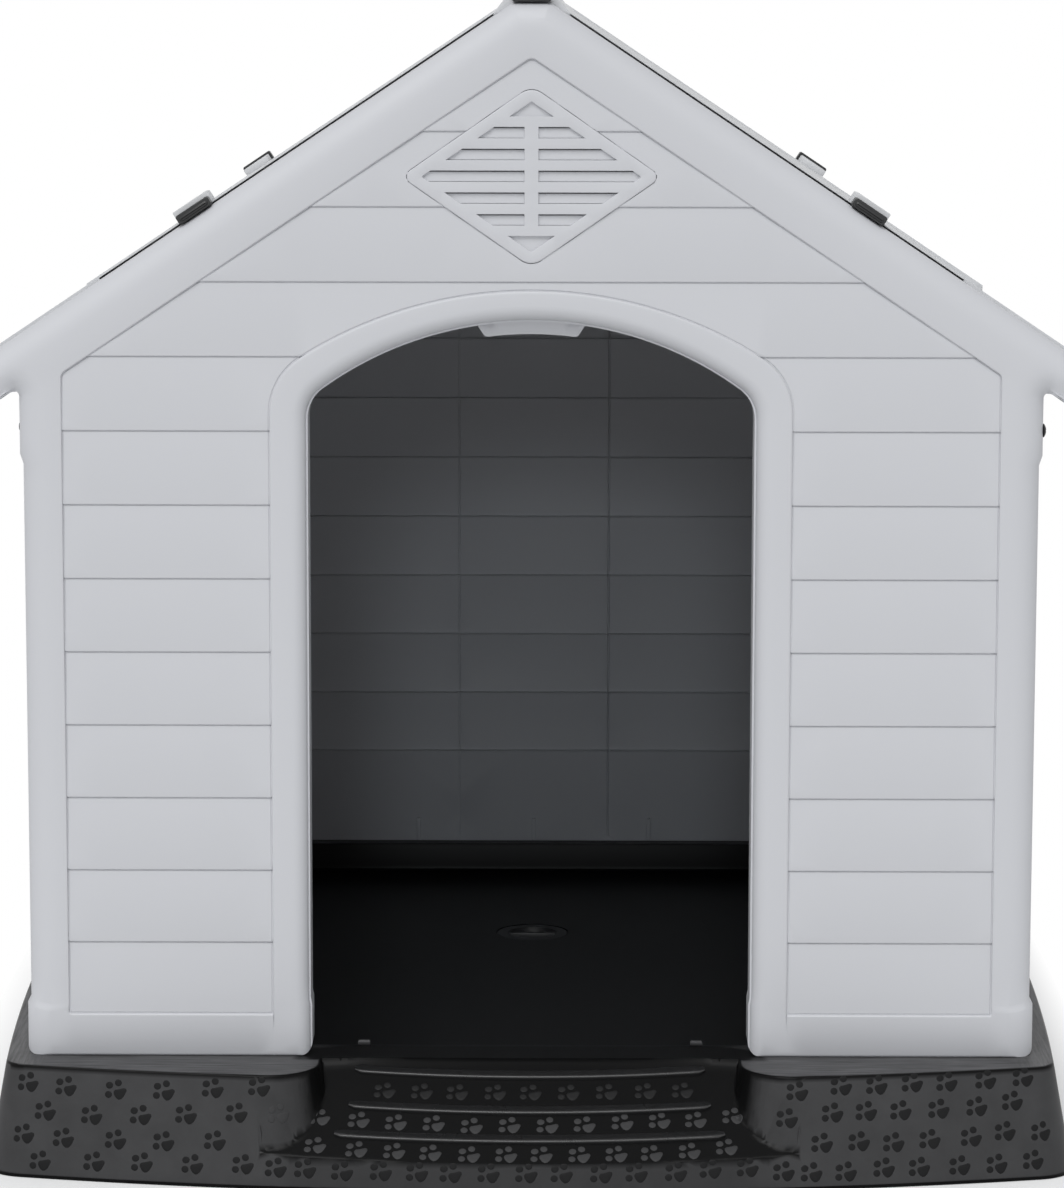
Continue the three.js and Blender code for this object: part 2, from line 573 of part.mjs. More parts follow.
// Diamond insert: a flange in the wall's seat, a collar through it and a slanted louvre
// blade behind each slot.
function ventInsert() {
  const face = FRONT - 0.5;
  const plateBack = FRONT + 1.7;
  const collarBack = FRONT + 11;
  const openScale = 0.91;
  const plate = alongY(diamond(1, -0.6), face, plateBack);
  const collar = cut(alongY(diamond(0.95, -0.5), plateBack - 0.5, collarBack), alongY(diamond(0.92), plateBack - 1, collarBack + 1));
  const rows = [-3, -2, -1, 0, 1, 2, 3].map((i) => VENT_Z + 0.3 + VENT_ROW * i);
  const wide = VENT_HALF[0];
  const slots = join(...rows.map((z, i) => {
    const slot = box(-wide, wide, face - 1, plateBack + 1, z - VENT_SLOT / 2, z + VENT_SLOT / 2);
    const ends = i === 0 || i === rows.length - 1;
    return ends ? slot : cut(slot, box(-VENT_BAR / 2, VENT_BAR / 2, face - 2, plateBack + 2, z - 10, z + 10));
  })).intersect(alongY(diamond(openScale), face - 1, plateBack + 1));
  const blades = join(...rows.map((z) => {
    const low = z - VENT_SLOT / 2 - 1.2;
    const high = z + VENT_SLOT / 2 - 1.4;
    return alongX([[face + 0.8, low], [face + 2.4, low], [collarBack - 2, high], [collarBack - 3.6, high]], -wide, wide);
  })).intersect(alongY(diamond(0.93), face, collarBack));
  return join(cut(plate, slots), collar, blades);
}

// Dome-headed screw on the right side, its axis along X.
function cornerScrew() {
  const face = HALF_WIDTH + SLEEVE + 0.1;
  const dome = arc(0, SCREW.dome - SCREW.head * 1.1, SCREW.head * 1.1, 25, 90, 4)
    .map(([x, y]) => [Math.max(x, 0), y]);
  const profile = [[0, -SCREW.length], [SCREW.shank, -SCREW.length + 2], [SCREW.shank, 0], [SCREW.head, 0], ...dome.slice(0, -1), [0, SCREW.dome]];
  return solid(new THREE.LatheGeometry(profile.map((p) => new THREE.Vector2(...p)), 16)
    .rotateZ(-Math.PI / 2).translate(face, 0, SCREW.z));
}

// Clip for a door flap: a tab under the crown of the arch, a neck through the arch and a barb.
function flapClip() {
  const archZ = DOOR.top - DOOR.arch;
  const turn = THREE.MathUtils.radToDeg(Math.asin(CLIP.half / DOOR.arch));
  const tab = alongY([...arc(0, archZ, DOOR.arch - GAP, 90 - turn, 90 + turn, 8),
    ...arc(0, archZ, DOOR.arch - GAP - CLIP.drop, 90 + turn - 1, 90 - turn + 1, 8)], CLIP.y0, CLIP.y1);
  return join(tab, box(-CLIP.neck, CLIP.neck, CLIP.y0, CLIP.y1, DOOR.top - 6, DOOR.top + SKIN + 3),
    box(-CLIP.neck, CLIP.neck, CLIP.y0 - 1.5, CLIP.y1 + 1.5, DOOR.top + SKIN + GAP, DOOR.top + SKIN + 3));
}

// ---------------------------------------------------------------- assembly

const pieces = new THREE.Group();

const PLASTIC = {
  wall: { color: '#c6c8ca', roughness: 0.55 },
  roof: { color: '#c9cbcc', roughness: 0.55 },
  base: { color: '#3b3b3c', roughness: 0.7 },
  key: { color: '#2c2d2f', roughness: 0.5 },
  screw: { color: '#1c1c1e', roughness: 0.4 },
};

function addPiece(name, shape, finish, metalness = 0) {
  const material = new THREE.MeshStandardMaterial({ ...PLASTIC[finish], metalness });
  const mesh = new THREE.Mesh(geometryOf(shape), material);
  mesh.name = name;
  pieces.add(mesh);
  return mesh;
}

addPiece('base_tray', baseTray(), 'base');
addPiece('drain_plug', drainPlug(), 'key');
addPiece('front_wall', gableWall(true), 'wall');
addPiece('back_wall', turnedToBack(gableWall(false)), 'wall');
addPiece('right_wall', sideWall(FRONT + SCREW.near, BACK - SCREW.far), 'wall');
addPiece('left_wall', mirroredX(sideWall(FRONT + SCREW.far, BACK - SCREW.near)), 'wall');
addPiece('roof_right', roofPanel(true), 'roof');
addPiece('roof_left', mirroredX(roofPanel(false)), 'roof');
addPiece('front_vent', ventInsert(), 'wall');
addPiece('back_vent', turnedToBack(ventInsert()), 'wall');
addPiece('flap_clip', flapClip(), 'wall');

addPiece('key_front_right', slopeKey(), 'key');
addPiece('key_front_left', mirroredX(slopeKey()), 'key');
addPiece('key_back_left', turnedToBack(slopeKey()), 'key');
addPiece('key_back_right', turnedToBack(mirroredX(slopeKey())), 'key');
addPiece('key_front_ridge', ridgeKey(), 'key');
addPiece('key_back_ridge', turnedToBack(ridgeKey()), 'key');

const screw = cornerScrew();
const screwAt = (name, manifold, y) => addPiece(name, manifold, 'screw').position.setY(y);
screwAt('screw_front_right', screw, FRONT + SCREW.near);
screwAt('screw_back_right', screw, BACK - SCREW.far);
screwAt('screw_front_left', mirroredX(screw), FRONT + SCREW.far);
screwAt('screw_back_left', mirroredX(screw), BACK - SCREW.near);

export default pieces;
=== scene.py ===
"""Dress for a moulded plastic dog house: clapboard gable walls, louvred vents, shingled roof
panels held by sliding keys, and a charcoal base with a ribbed ramp. Runs once, as a script."""

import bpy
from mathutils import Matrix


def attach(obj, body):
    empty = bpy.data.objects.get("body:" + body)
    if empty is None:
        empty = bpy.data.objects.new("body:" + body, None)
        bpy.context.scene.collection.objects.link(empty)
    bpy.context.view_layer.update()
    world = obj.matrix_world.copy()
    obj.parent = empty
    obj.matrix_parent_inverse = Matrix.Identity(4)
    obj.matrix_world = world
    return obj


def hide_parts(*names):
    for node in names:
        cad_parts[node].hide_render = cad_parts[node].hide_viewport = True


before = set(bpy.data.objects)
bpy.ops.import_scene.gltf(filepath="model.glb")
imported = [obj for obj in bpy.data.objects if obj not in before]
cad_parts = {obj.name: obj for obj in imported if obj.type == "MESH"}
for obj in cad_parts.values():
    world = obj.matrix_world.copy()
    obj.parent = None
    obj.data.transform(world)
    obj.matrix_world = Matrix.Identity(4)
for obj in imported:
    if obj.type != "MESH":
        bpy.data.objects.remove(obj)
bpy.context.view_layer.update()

import math

import bmesh
import bpy
import numpy as np
from mathutils import Matrix, Vector, geometry

bl_info = {
    "name": "Moulded dog house",
    "version": (1, 0, 0),
    "blender": (4, 5, 0),
    "location": "View3D > Sidebar > Dog house",
    "description": "Builds the walls, roof, base and fittings of a moulded dog house",
    "category": "Object",
}

# All shapes below are in millimetres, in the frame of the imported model, and become metres
# in new_object(). The groups' own sizes are in metres.
MM = 0.001

GAP = 0.3                   # clearance between two pieces
SKIN = 4.0                  # thickness of the mouldings
RIM = 66.0                  # ledge of the base, on which the walls stand
FLOOR = 47.0
FRONT, BACK = -316.0, 348.0           # outer faces of the gable walls
RETURN = 30.0               # depth of a gable wall, from its face to its inner edge
HALF_WIDTH = 304.3
SLEEVE = 2.0                # how far the gable walls' corners stand out
SLOPE = 2 / 3
APEX, RIDGE = 708.5, 700.0            # where the slopes would meet, and the flat they end at
EAVE, EAVE_DEPTH = 330.0, 26.0
BOARD_LOW = 92.0            # foot of the lowest board
BOARD_TOP, BOARD_FOOT = 1.75, 0.7     # how far a board lies back at its top and its foot
FIELD_HALF, FIELD_SHOULDER, FIELD_APEX = 280.0, 482.0, 669.6
DOOR = {"half": 133.5, "top": 513.0, "arch": 213.0, "corner": 22.0}
DOOR_TRIM = {"half": 156.0, "top": 531.5, "arch": 258.0, "corner": 40.0}
VENT_Z = 599.2
VENT_HALF = (77.5, 53.8)

COS = 1 / math.hypot(1, SLOPE)
SIN = SLOPE * COS
FRAME_BACK = FRONT + RETURN
SIDE_FRONT = FRAME_BACK + GAP
SIDE_BACK = BACK - RETURN - GAP
RIDGE_HALF = (APEX - RIDGE) / SLOPE


def linear(code):
    """An sRGB hex colour as linear RGBA."""
    parts = [int(code[i:i + 2], 16) / 255 for i in (1, 3, 5)]
    return tuple(c / 12.92 if c <= 0.04045 else ((c + 0.055) / 1.055) ** 2.4 for c in parts) + (1.0,)


# ---------------------------------------------------------------- sizes and colours to change

def length(name, description, default, low, high):
    """A size in metres."""
    return bpy.props.FloatProperty(name=name, description=description, default=default, min=low,
                                   max=high, unit="LENGTH")


def tint(name, description, code):
    """A colour, given as an sRGB hex code."""
    return bpy.props.FloatVectorProperty(name=name, description=description, subtype="COLOR", size=4,
                                         default=linear(code), min=0, max=1)


class WallSizes(bpy.types.PropertyGroup):
    board_height: length("Board height", "Height of one clapboard", 0.0445, 0.02, 0.1)
    edge_rounding: length("Corner rounding", "Radius of the outer edge of a gable wall", 0.016, 0.004, 0.02)
    bullnose: length("Bullnose", "Radius of the doorway's inner edge", 0.010, 0.002, 0.012)
    groove: length("Groove", "Depth of the groove round the clapboards", 0.0004, 0.0, 0.002)


class RoofSizes(bpy.types.PropertyGroup):
    courses: bpy.props.IntProperty(
        name="Courses", description="Rows of shingles on one roof panel", default=6, min=2, max=12)
    per_course: bpy.props.IntProperty(
        name="Shingles in a course", description="Shingles along one row", default=9, min=3, max=20)
    thickness: length("Shingle thickness", "Height of a shingle's foot over its bed", 0.0015, 0.001, 0.004)


class BaseSizes(bpy.types.PropertyGroup):
    rib_height: length("Rib height", "Height of a grip rib over the ramp", 0.0025, 0.001, 0.004)
    rib_width: length("Rib width", "Width of a grip rib", 0.0074, 0.002, 0.012)
    paw_width: length("Paw width", "Width of one paw print", 0.0133, 0.006, 0.02)
    paw_relief: length("Paw relief", "How far a paw print stands out", 0.00012, 0.0001, 0.001)


class Colours(bpy.types.PropertyGroup):
    wall: tint("Walls", "Light grey of the walls", "#c3c4c8")
    roof: tint("Roof", "Light grey of the roof panels", "#c8c9cb")
    base: tint("Base", "Charcoal of the base", "#363637")
    key: tint("Keys", "Dark grey of the roof keys and the plug", "#1d1e1f")
    screw: tint("Screws", "Black oxide of the screws", "#1b1b1d")


class Studio(bpy.types.PropertyGroup):
    key: bpy.props.FloatProperty(
        name="Key light", description="Strength of the broad light from above and in front",
        default=1.93, min=0, max=10)
    front: bpy.props.FloatProperty(
        name="Front light", description="Strength of the light that reaches the inside",
        default=0.13, min=0, max=2)
    fill: bpy.props.FloatProperty(
        name="Fill light", description="Strength of the light from all round",
        default=0.42, min=0, max=2)


# ---------------------------------------------------------------- outlines

def arc(cx, cy, radius, start, end, steps):
    """Points on an arc, angles in degrees."""
    turns = np.radians(np.linspace(start, end, steps + 1))
    return [(cx + radius * math.cos(t), cy + radius * math.sin(t)) for t in turns]


def level(start, end, count, at):
    """An open level line: count points from start to end, all at one height."""
    return np.array([(x, at) for x in np.linspace(start, end, count)]), False


def upright(at, start, end, count):
    """An open upright line."""
    return np.array([(at, z) for z in np.linspace(start, end, count)]), False


def mirrored(points):
    return [(-p[0], *p[1:]) for p in reversed(points)]


def rounded(corners, step=9.0):
    """Corners are (x, y) or (x, y, radius); a rounded corner becomes a short arc."""
    points = []
    count = len(corners)
    for i, corner in enumerate(corners):
        here = Vector(corner[:2])
        radius = corner[2] if len(corner) > 2 else 0
        if not radius:
            points.append(tuple(here))
            continue
        before = (Vector(corners[i - 1][:2]) - here).normalized()
        after = (Vector(corners[(i + 1) % count][:2]) - here).normalized()
        half = math.acos(max(-1.0, min(1.0, before.dot(after)))) / 2
        centre = here + (before + after).normalized() * (radius / math.sin(half))
        start = here + before * (radius / math.tan(half)) - centre
        end = here + after * (radius / math.tan(half)) - centre
        turn = math.atan2(start.x * end.y - start.y * end.x, start.dot(end))
        steps = max(2, round(abs(math.degrees(turn)) / step))
        for k in range(steps + 1):
            a = turn * k / steps
            points.append((centre.x + start.x * math.cos(a) - start.y * math.sin(a),
                           centre.y + start.x * math.sin(a) + start.y * math.cos(a)))
    return points


def densified(points, spacing, closed=True):
    """The same line with extra points on its long stretches."""
    out = []
    count = len(points)
    for i in range(count if closed else count - 1):
        a, b = np.array(points[i][:2]), np.array(points[(i + 1) % count][:2])
        steps = max(1, math.ceil(np.linalg.norm(b - a) / spacing))
        out.extend(a + (b - a) * k / steps for k in range(steps))
    if not closed:
        out.append(np.array(points[-1][:2]))
    return np.array(out, float)


def inward(loop):
    """Inward mitre directions at the corners of a counter-clockwise loop."""
    along = np.roll(loop, -1, 0) - loop
    along /= np.maximum(np.linalg.norm(along, axis=1, keepdims=True), 1e-9)
    side = np.stack([-along[:, 1], along[:, 0]], 1)
    before = np.roll(side, 1, 0)
    scale = 1 + (side * before).sum(1, keepdims=True)
    return (side + before) / np.maximum(scale, 0.35)


def nearest(points, line, closed=True):
    """Distance from each point to a line, the nearest stretch and how far along that it is."""
    line = np.asarray(line, float)
    a = line if closed else line[:-1]
    b = np.roll(line, -1, 0) if closed else line[1:]
    ab = b - a
    length2 = np.maximum((ab ** 2).sum(1), 1e-12)
    far, which, share = [], [], []
    for chunk in np.array_split(points, max(1, len(points) // 3000)):
        t = np.clip(((chunk[:, None] - a) * ab).sum(2) / length2, 0, 1)
        d = np.linalg.norm(chunk[:, None] - (a + t[..., None] * ab), axis=2)
        k = d.argmin(1)
        rows = np.arange(len(chunk))
        far.append(d[rows, k])
        which.append(k)
        share.append(t[rows, k])
    return np.concatenate(far), np.concatenate(which), np.concatenate(share)


def off(points, lines):
    """Distance from each point to the nearest of several open lines."""
    return np.min([nearest(points, line, False)[0] for line in lines], 0)


def inside(points, loop):
    loop = np.asarray(loop, float)
    a, b = loop, np.roll(loop, -1, 0)
    rise = np.where(b[:, 1] == a[:, 1], 1e-12, b[:, 1] - a[:, 1])
    hits = []
    for chunk in np.array_split(points, max(1, len(points) // 3000)):
        y = chunk[:, 1:2]
        crosses = (a[:, 1] > y) != (b[:, 1] > y)
        x = a[:, 0] + (y - a[:, 1]) / rise * (b[:, 0] - a[:, 0])
        hits.append(((chunk[:, 0:1] < x) & crosses).sum(1) % 2 == 1)
    return np.concatenate(hits)


def signed(points, loop):
    """Distance to a loop, positive inside it."""
    return np.where(inside(points, loop), 1, -1) * nearest(points, loop)[0]


def runs(points, keep, closed):
    """The stretches of a line whose points are kept, as (points, closed) pairs."""
    if keep.all():
        return [(points, closed)]
    if closed:
        start = int(np.argmin(keep))
        points, keep = np.roll(points, -start, 0), np.roll(keep, -start)
    out, current = [], []
    for p, k in zip(points, keep):
        if k:
            current.append(p)
        elif current:
            out.append((np.array(current), False))
            current = []
    if current:
        out.append((np.array(current), False))
    return out


def rings(loop, depths):
    """Lines inside a loop at the given depths, left out where they would cross themselves."""
    loop = np.asarray(loop, float)
    normal = inward(loop)
    out = []
    for depth in depths:
        ring = loop + normal * depth
        keep = np.abs(signed(ring, loop) - depth) < 0.05 + 0.03 * abs(depth)
        out.extend(runs(ring, keep, True))
    return out


def clipped(lines, outline, holes=(), margin=0.4):
    """The parts of lines that lie inside an outline and outside its holes, cut off where
    they come within the margin of either."""
    def room(points):
        return np.min([signed(points, outline)] + [-signed(points, hole) for hole in holes], 0) - margin

    out = []
    for points, closed in lines:
        points = np.asarray(points, float)
        free = room(points) > 0
        if free.all():
            out.append((points, closed))
            continue
        if closed:
            points, free = np.vstack([points, points[:1]]), np.append(free, free[0])
        turn = np.nonzero(free[1:] != free[:-1])[0]
        low, high = points[turn], points[turn + 1]
        low, high = np.where(free[turn, None], low, high), np.where(free[turn, None], high, low)
        for _ in range(14):
            middle = (low + high) / 2
            is_free = (room(middle) > 0)[:, None] if len(middle) else np.zeros((0, 1), bool)
            low, high = np.where(is_free, middle, low), np.where(is_free, high, middle)
        ends = dict(zip(turn.tolist(), low))
        pieces, current = [], []
        for i, point in enumerate(points):
            if free[i]:
                current.append(point)
            if i in ends:
                current.append(ends[i])
                if free[i]:
                    pieces.append(current)
                    current = []
        if current:
            pieces.append(current)
        out.extend((np.array(piece), False) for piece in pieces if len(piece) > 1)
    return out


# ---------------------------------------------------------------- meshes

def triangulated(outline, holes, lines):
    """Triangles of an outline that follow the given lines."""
    points, edges = [], []
    loops = [(outline, True)] + [(hole, True) for hole in holes]
    for line, closed in loops + list(lines):
        first, count = len(points), len(line)
        points.extend(Vector((float(p[0]), float(p[1]))) for p in line)
        edges.extend((first + i, first + (i + 1) % count) for i in range(count if closed else count - 1))
    verts, _, faces, *_ = geometry.delaunay_2d_cdt(points, edges, [], 0, 1e-4)
    uv = np.array([tuple(v) for v in verts])
    triangles = np.array([tuple(f) for f in faces])
    middles = uv[triangles].mean(1)
    keep = inside(middles, outline)
    for hole in holes:
        keep &= ~inside(middles, hole)
    return uv, triangles[keep]


def two_faced(outline, holes, front_lines, back_lines, front, back, place):
    """A closed shell over an outline: each face is a height over it, and walls join their
    rims. place() turns outline points and heights into points in space."""
    uv_front, front_faces = triangulated(outline, holes, front_lines)
    uv_back, back_faces = triangulated(outline, holes, back_lines)
    shift = len(uv_front)
    verts = np.concatenate([place(uv_front, front(uv_front)), place(uv_back, back(uv_back))])
    faces = [tuple(f) for f in front_faces] + [tuple(reversed(f + shift)) for f in back_faces]
    there = {(round(x, 2), round(y, 2)): i + shift for i, (x, y) in enumerate(uv_back)}
    used = {}
    for a, b, c in front_faces:
        for edge in ((a, b), (b, c), (c, a)):
            key = (min(edge), max(edge))
            used[key] = None if key in used else edge
    for edge in used.values():
        if edge is None:
            continue
        a, b = edge
        try:
            faces.append((b, a, *(there[tuple(round(v, 2) for v in uv_front[i])] for i in (a, b))))
        except KeyError:
            raise RuntimeError(f"the two faces' rims differ at {uv_front[a]}") from None
    return verts, faces


def new_object(name, verts, faces, sharp=32.0, scale=MM):
    """A closed mesh in metres, smooth apart from its sharp edges."""
    bm = bmesh.new()
    made = [bm.verts.new(np.asarray(v, float) * scale) for v in verts]
    for face in faces:
        if len(set(face)) > 2:
            bm.faces.new([made[i] for i in face])
    loose = [v for v in bm.verts if not v.link_faces]
    bmesh.ops.delete(bm, geom=loose, context="VERTS")
    bmesh.ops.remove_doubles(bm, verts=bm.verts, dist=2e-6)
    bmesh.ops.recalc_face_normals(bm, faces=bm.faces)
    return from_bmesh(name, bm, sharp)


def from_bmesh(name, bm, sharp=32.0):
    for face in bm.faces:
        face.smooth = True
    for edge in bm.edges:
        edge.smooth = not (edge.is_manifold and edge.calc_face_angle() > math.radians(sharp))
    mesh = bpy.data.meshes.new(name)
    bm.to_mesh(mesh)
    bm.free()
    obj = bpy.data.objects.new(name, mesh)
    bpy.context.scene.collection.objects.link(obj)
    return obj


def band(first, count):
    """Faces between two rings of vertices that follow each other."""
    return [(first + i, first + (i + 1) % count, first + count + (i + 1) % count, first + count + i)
            for i in range(count)]


def store(mesh, key, values):
    """Stores one number for each vertex."""
    mesh.attributes.new(key, "FLOAT", "POINT").data.foreach_set("value", np.asarray(values, np.float32))


def dress(obj, finish, body="house", replaces=()):
    """Gives a finished piece its material and body."""
    if finish:
        obj.data.materials.clear()
        obj.data.materials.append(bpy.data.materials[finish])
    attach(obj, body)
    if replaces:
        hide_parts(*replaces)
    return obj


def settle(obj):
    """Applies an object's modifiers to its mesh."""
    depsgraph = bpy.context.evaluated_depsgraph_get()
    mesh = bpy.data.meshes.new_from_object(obj.evaluated_get(depsgraph))
    obj.modifiers.clear()
    obj.data = mesh
    return obj


def combined(obj, tool, operation):
    """Cuts a tool object out of an object, or joins it on, and removes the tool."""
    change = obj.modifiers.new("combine", "BOOLEAN")
    change.object, change.operation, change.solver = tool, operation, "EXACT"
    settle(obj)
    bpy.data.objects.remove(tool)
    bm = bmesh.new()
    bm.from_mesh(obj.data)
    bmesh.ops.remove_doubles(bm, verts=bm.verts, dist=1e-6)
    name = obj.name
    bpy.data.objects.remove(obj)
    return from_bmesh(name, bm)


def prism_verts(section, low, high, place):
    """A prism from a section, as vertices and faces; place() takes section points and a
    distance along it."""
    count = len(section)
    verts = [place(*p, low) for p in section] + [place(*p, high) for p in section]
    faces = [tuple(range(count)), tuple(range(2 * count - 1, count - 1, -1))]
    return verts, faces + band(0, count)


def soft_box(corners, radius, segments=2):
    """A bmesh box between two corners with rounded edges, in metres."""
    (x0, y0, z0), (x1, y1, z1) = corners
    bm = bmesh.new()
    bmesh.ops.create_cube(bm, size=1)
    size = Vector((x1 - x0, y1 - y0, z1 - z0))
    middle = Vector((x0 + x1, y0 + y1, z0 + z1)) / 2
    for v in bm.verts:
        v.co = (Vector(a * b for a, b in zip(v.co, size)) + middle) * MM
    bmesh.ops.bevel(bm, geom=bm.edges[:], offset=radius * MM, segments=segments, profile=0.5,
                    affect="EDGES")
    return bm


def lathe(profile, sides, axis_point, axis="Z"):
    """A turned shape from (radius, height) pairs that start and end on the axis."""
    verts, faces, rows = [], [], []
    for radius, height in profile:
        if radius == 0:
            rows.append([len(verts)] * sides)
            verts.append((0.0, 0.0, height))
            continue
        rows.append(list(range(len(verts), len(verts) + sides)))
        verts.extend((radius * math.cos(2 * math.pi * k / sides),
                      radius * math.sin(2 * math.pi * k / sides), height) for k in range(sides))
    for low, high in zip(rows, rows[1:]):
        for k in range(sides):
            n = (k + 1) % sides
            face = [low[k], low[n], high[n], high[k]]
            face = [v for i, v in enumerate(face) if v not in face[:i]]
            if len(face) > 2:
                faces.append(tuple(face))
    turn = Matrix.Rotation(math.pi / 2, 3, "Y") if axis == "X" else Matrix.Identity(3)
    return [turn @ Vector(v) + Vector(axis_point) for v in verts], faces


# ---------------------------------------------------------------- geometry node trees

def add(tree, kind, inputs=None, **settings):
    """Adds a node with its settings; an input's value may be a socket to link."""
    node = tree.nodes.new(kind)
    for key, value in settings.items():
        setattr(node, key, value)
    for key, value in (inputs or {}).items():
        if isinstance(value, bpy.types.NodeSocket):
            tree.links.new(value, node.inputs[key])
        else:
            node.inputs[key].default_value = value
    return node


def placing_tree():
    """Sets copies of a piece out on points that carry a turn and a size, and, where a
    ground is given, wraps them on it at the height that the copy's own attribute says."""
    tree = bpy.data.node_groups.new("set_out_copies", "GeometryNodeTree")
    face = tree.interface
    face.new_socket("Geometry", in_out="OUTPUT", socket_type="NodeSocketGeometry")
    face.new_socket("Points", in_out="INPUT", socket_type="NodeSocketGeometry")
    face.new_socket("Copy", in_out="INPUT", socket_type="NodeSocketObject")
    face.new_socket("Ground", in_out="INPUT", socket_type="NodeSocketObject")
    face.new_socket("Wrap on ground", in_out="INPUT", socket_type="NodeSocketBool")
    face.new_socket("Relief", in_out="INPUT", socket_type="NodeSocketFloat")
    face.new_socket("Finish", in_out="INPUT", socket_type="NodeSocketMaterial")
    given = add(tree, "NodeGroupInput").outputs
    copy = add(tree, "GeometryNodeObjectInfo", {"Object": given["Copy"]})
    turn = add(tree, "GeometryNodeInputNamedAttribute", {"Name": "turn"}, data_type="FLOAT_VECTOR")
    size = add(tree, "GeometryNodeInputNamedAttribute", {"Name": "size"}, data_type="FLOAT_VECTOR")
    rise = add(tree, "GeometryNodeInputNamedAttribute", {"Name": "rise"}, data_type="FLOAT")
    spin = add(tree, "FunctionNodeEulerToRotation", {0: turn.outputs["Attribute"]})
    copies = add(tree, "GeometryNodeInstanceOnPoints", {
        "Points": given["Points"], "Instance": copy.outputs["Geometry"],
        "Rotation": spin.outputs[0], "Scale": size.outputs["Attribute"]})
    real = add(tree, "GeometryNodeRealizeInstances", {"Geometry": copies.outputs["Instances"]})
    ground = add(tree, "GeometryNodeObjectInfo", {"Object": given["Ground"]})
    touch = add(tree, "GeometryNodeProximity", {"Geometry": ground.outputs["Geometry"]},
                target_element="FACES")
    normal = add(tree, "GeometryNodeInputNormal")
    facing = add(tree, "GeometryNodeSampleNearestSurface", {
        "Mesh": ground.outputs["Geometry"], "Value": normal.outputs["Normal"]},
        data_type="FLOAT_VECTOR")
    lift = add(tree, "ShaderNodeMath", {0: rise.outputs["Attribute"], 1: given["Relief"]},
               operation="MULTIPLY")
    off = add(tree, "ShaderNodeVectorMath", {0: facing.outputs["Value"], "Scale": lift.outputs[0]},
              operation="SCALE")
    there = add(tree, "ShaderNodeVectorMath", {0: touch.outputs["Position"], 1: off.outputs[0]},
                operation="ADD")
    moved = add(tree, "GeometryNodeSetPosition", {
        "Geometry": real.outputs["Geometry"], "Selection": given["Wrap on ground"],
        "Position": there.outputs[0]})
    painted = add(tree, "GeometryNodeSetMaterial", {
        "Geometry": moved.outputs["Geometry"], "Material": given["Finish"]})
    add(tree, "NodeGroupOutput", {"Geometry": painted.outputs["Geometry"]})
    return tree


def set_out(name, points, turns, sizes, copy, finish, ground=None, relief=0.0):
    """One plain mesh of copies on points, by the placing tree. Points are in metres."""
    mesh = bpy.data.meshes.new(name)
    mesh.from_pydata([tuple(p) for p in points], [], [])
    for key, values in (("turn", turns), ("size", sizes)):
        mesh.attributes.new(key, "FLOAT_VECTOR", "POINT").data.foreach_set(
            "vector", np.asarray(values, np.float32).ravel())
    obj = bpy.data.objects.new(name, mesh)
    tree = bpy.data.node_groups.get("set_out_copies") or placing_tree()
    change = obj.modifiers.new("set out", "NODES")
    change.node_group = tree
    socket = {s.name: s.identifier for s in tree.interface.items_tree if s.in_out == "INPUT"}
    change[socket["Copy"]] = copy
    change[socket["Ground"]] = ground
    change[socket["Wrap on ground"]] = ground is not None
    change[socket["Relief"]] = relief
    change[socket["Finish"]] = bpy.data.materials[finish]
    bpy.context.scene.collection.objects.link(obj)
    bpy.context.view_layer.update()
    settle(obj)
    for attribute in [a.name for a in obj.data.attributes if a.name in ("turn", "size", "rise")]:
        obj.data.attributes.remove(obj.data.attributes[attribute])
    bpy.data.objects.remove(copy)
    return obj


def turn_of(side, up, out):
    """Euler turn that takes X, Y and Z to three square directions."""
    return tuple(Matrix((side, up, out)).transposed().to_euler())


# ---------------------------------------------------------------- finishes

PLASTIC_IOR = 1.49
CLOUD_SIZE = 0.09                     # of the melt's cloudiness, in metres
SCUFF_LONG, SCUFF_WIDE = 0.035, 0.0017


def blank_material(name):
    """A new material, its tree and the one node in it: the object's own coordinates."""
    material = bpy.data.materials.new(name)
    material.use_nodes = True
    tree = material.node_tree
    tree.nodes.clear()
    return material, tree, add(tree, "ShaderNodeTexCoord").outputs["Object"]


def noise(tree, place, size, detail, roughness=0.5):
    """Noise whose forms are about as large as size, in the units of place."""
    return add(tree, "ShaderNodeTexNoise", {"Vector": place, "Scale": 1 / size, "Detail": detail,
                                            "Roughness": roughness}).outputs["Fac"]


def ranged(tree, value, low, high, start=0.0, end=1.0):
    """Carries a value that goes from start to end over to low to high."""
    return add(tree, "ShaderNodeMapRange", {"Value": value, "From Min": start, "From Max": end,
                                            "To Min": low, "To Max": high}).outputs["Result"]


def surface(tree, inputs):
    """Ends a tree in a plain shader with the given inputs."""
    shader = add(tree, "ShaderNodeBsdfPrincipled", inputs)
    add(tree, "ShaderNodeOutputMaterial", {"Surface": shader.outputs["BSDF"]})


def shade(colour, share):
    """A colour made darker or lighter."""
    return tuple(min(1.0, c * share) for c in colour[:3]) + (1.0,)


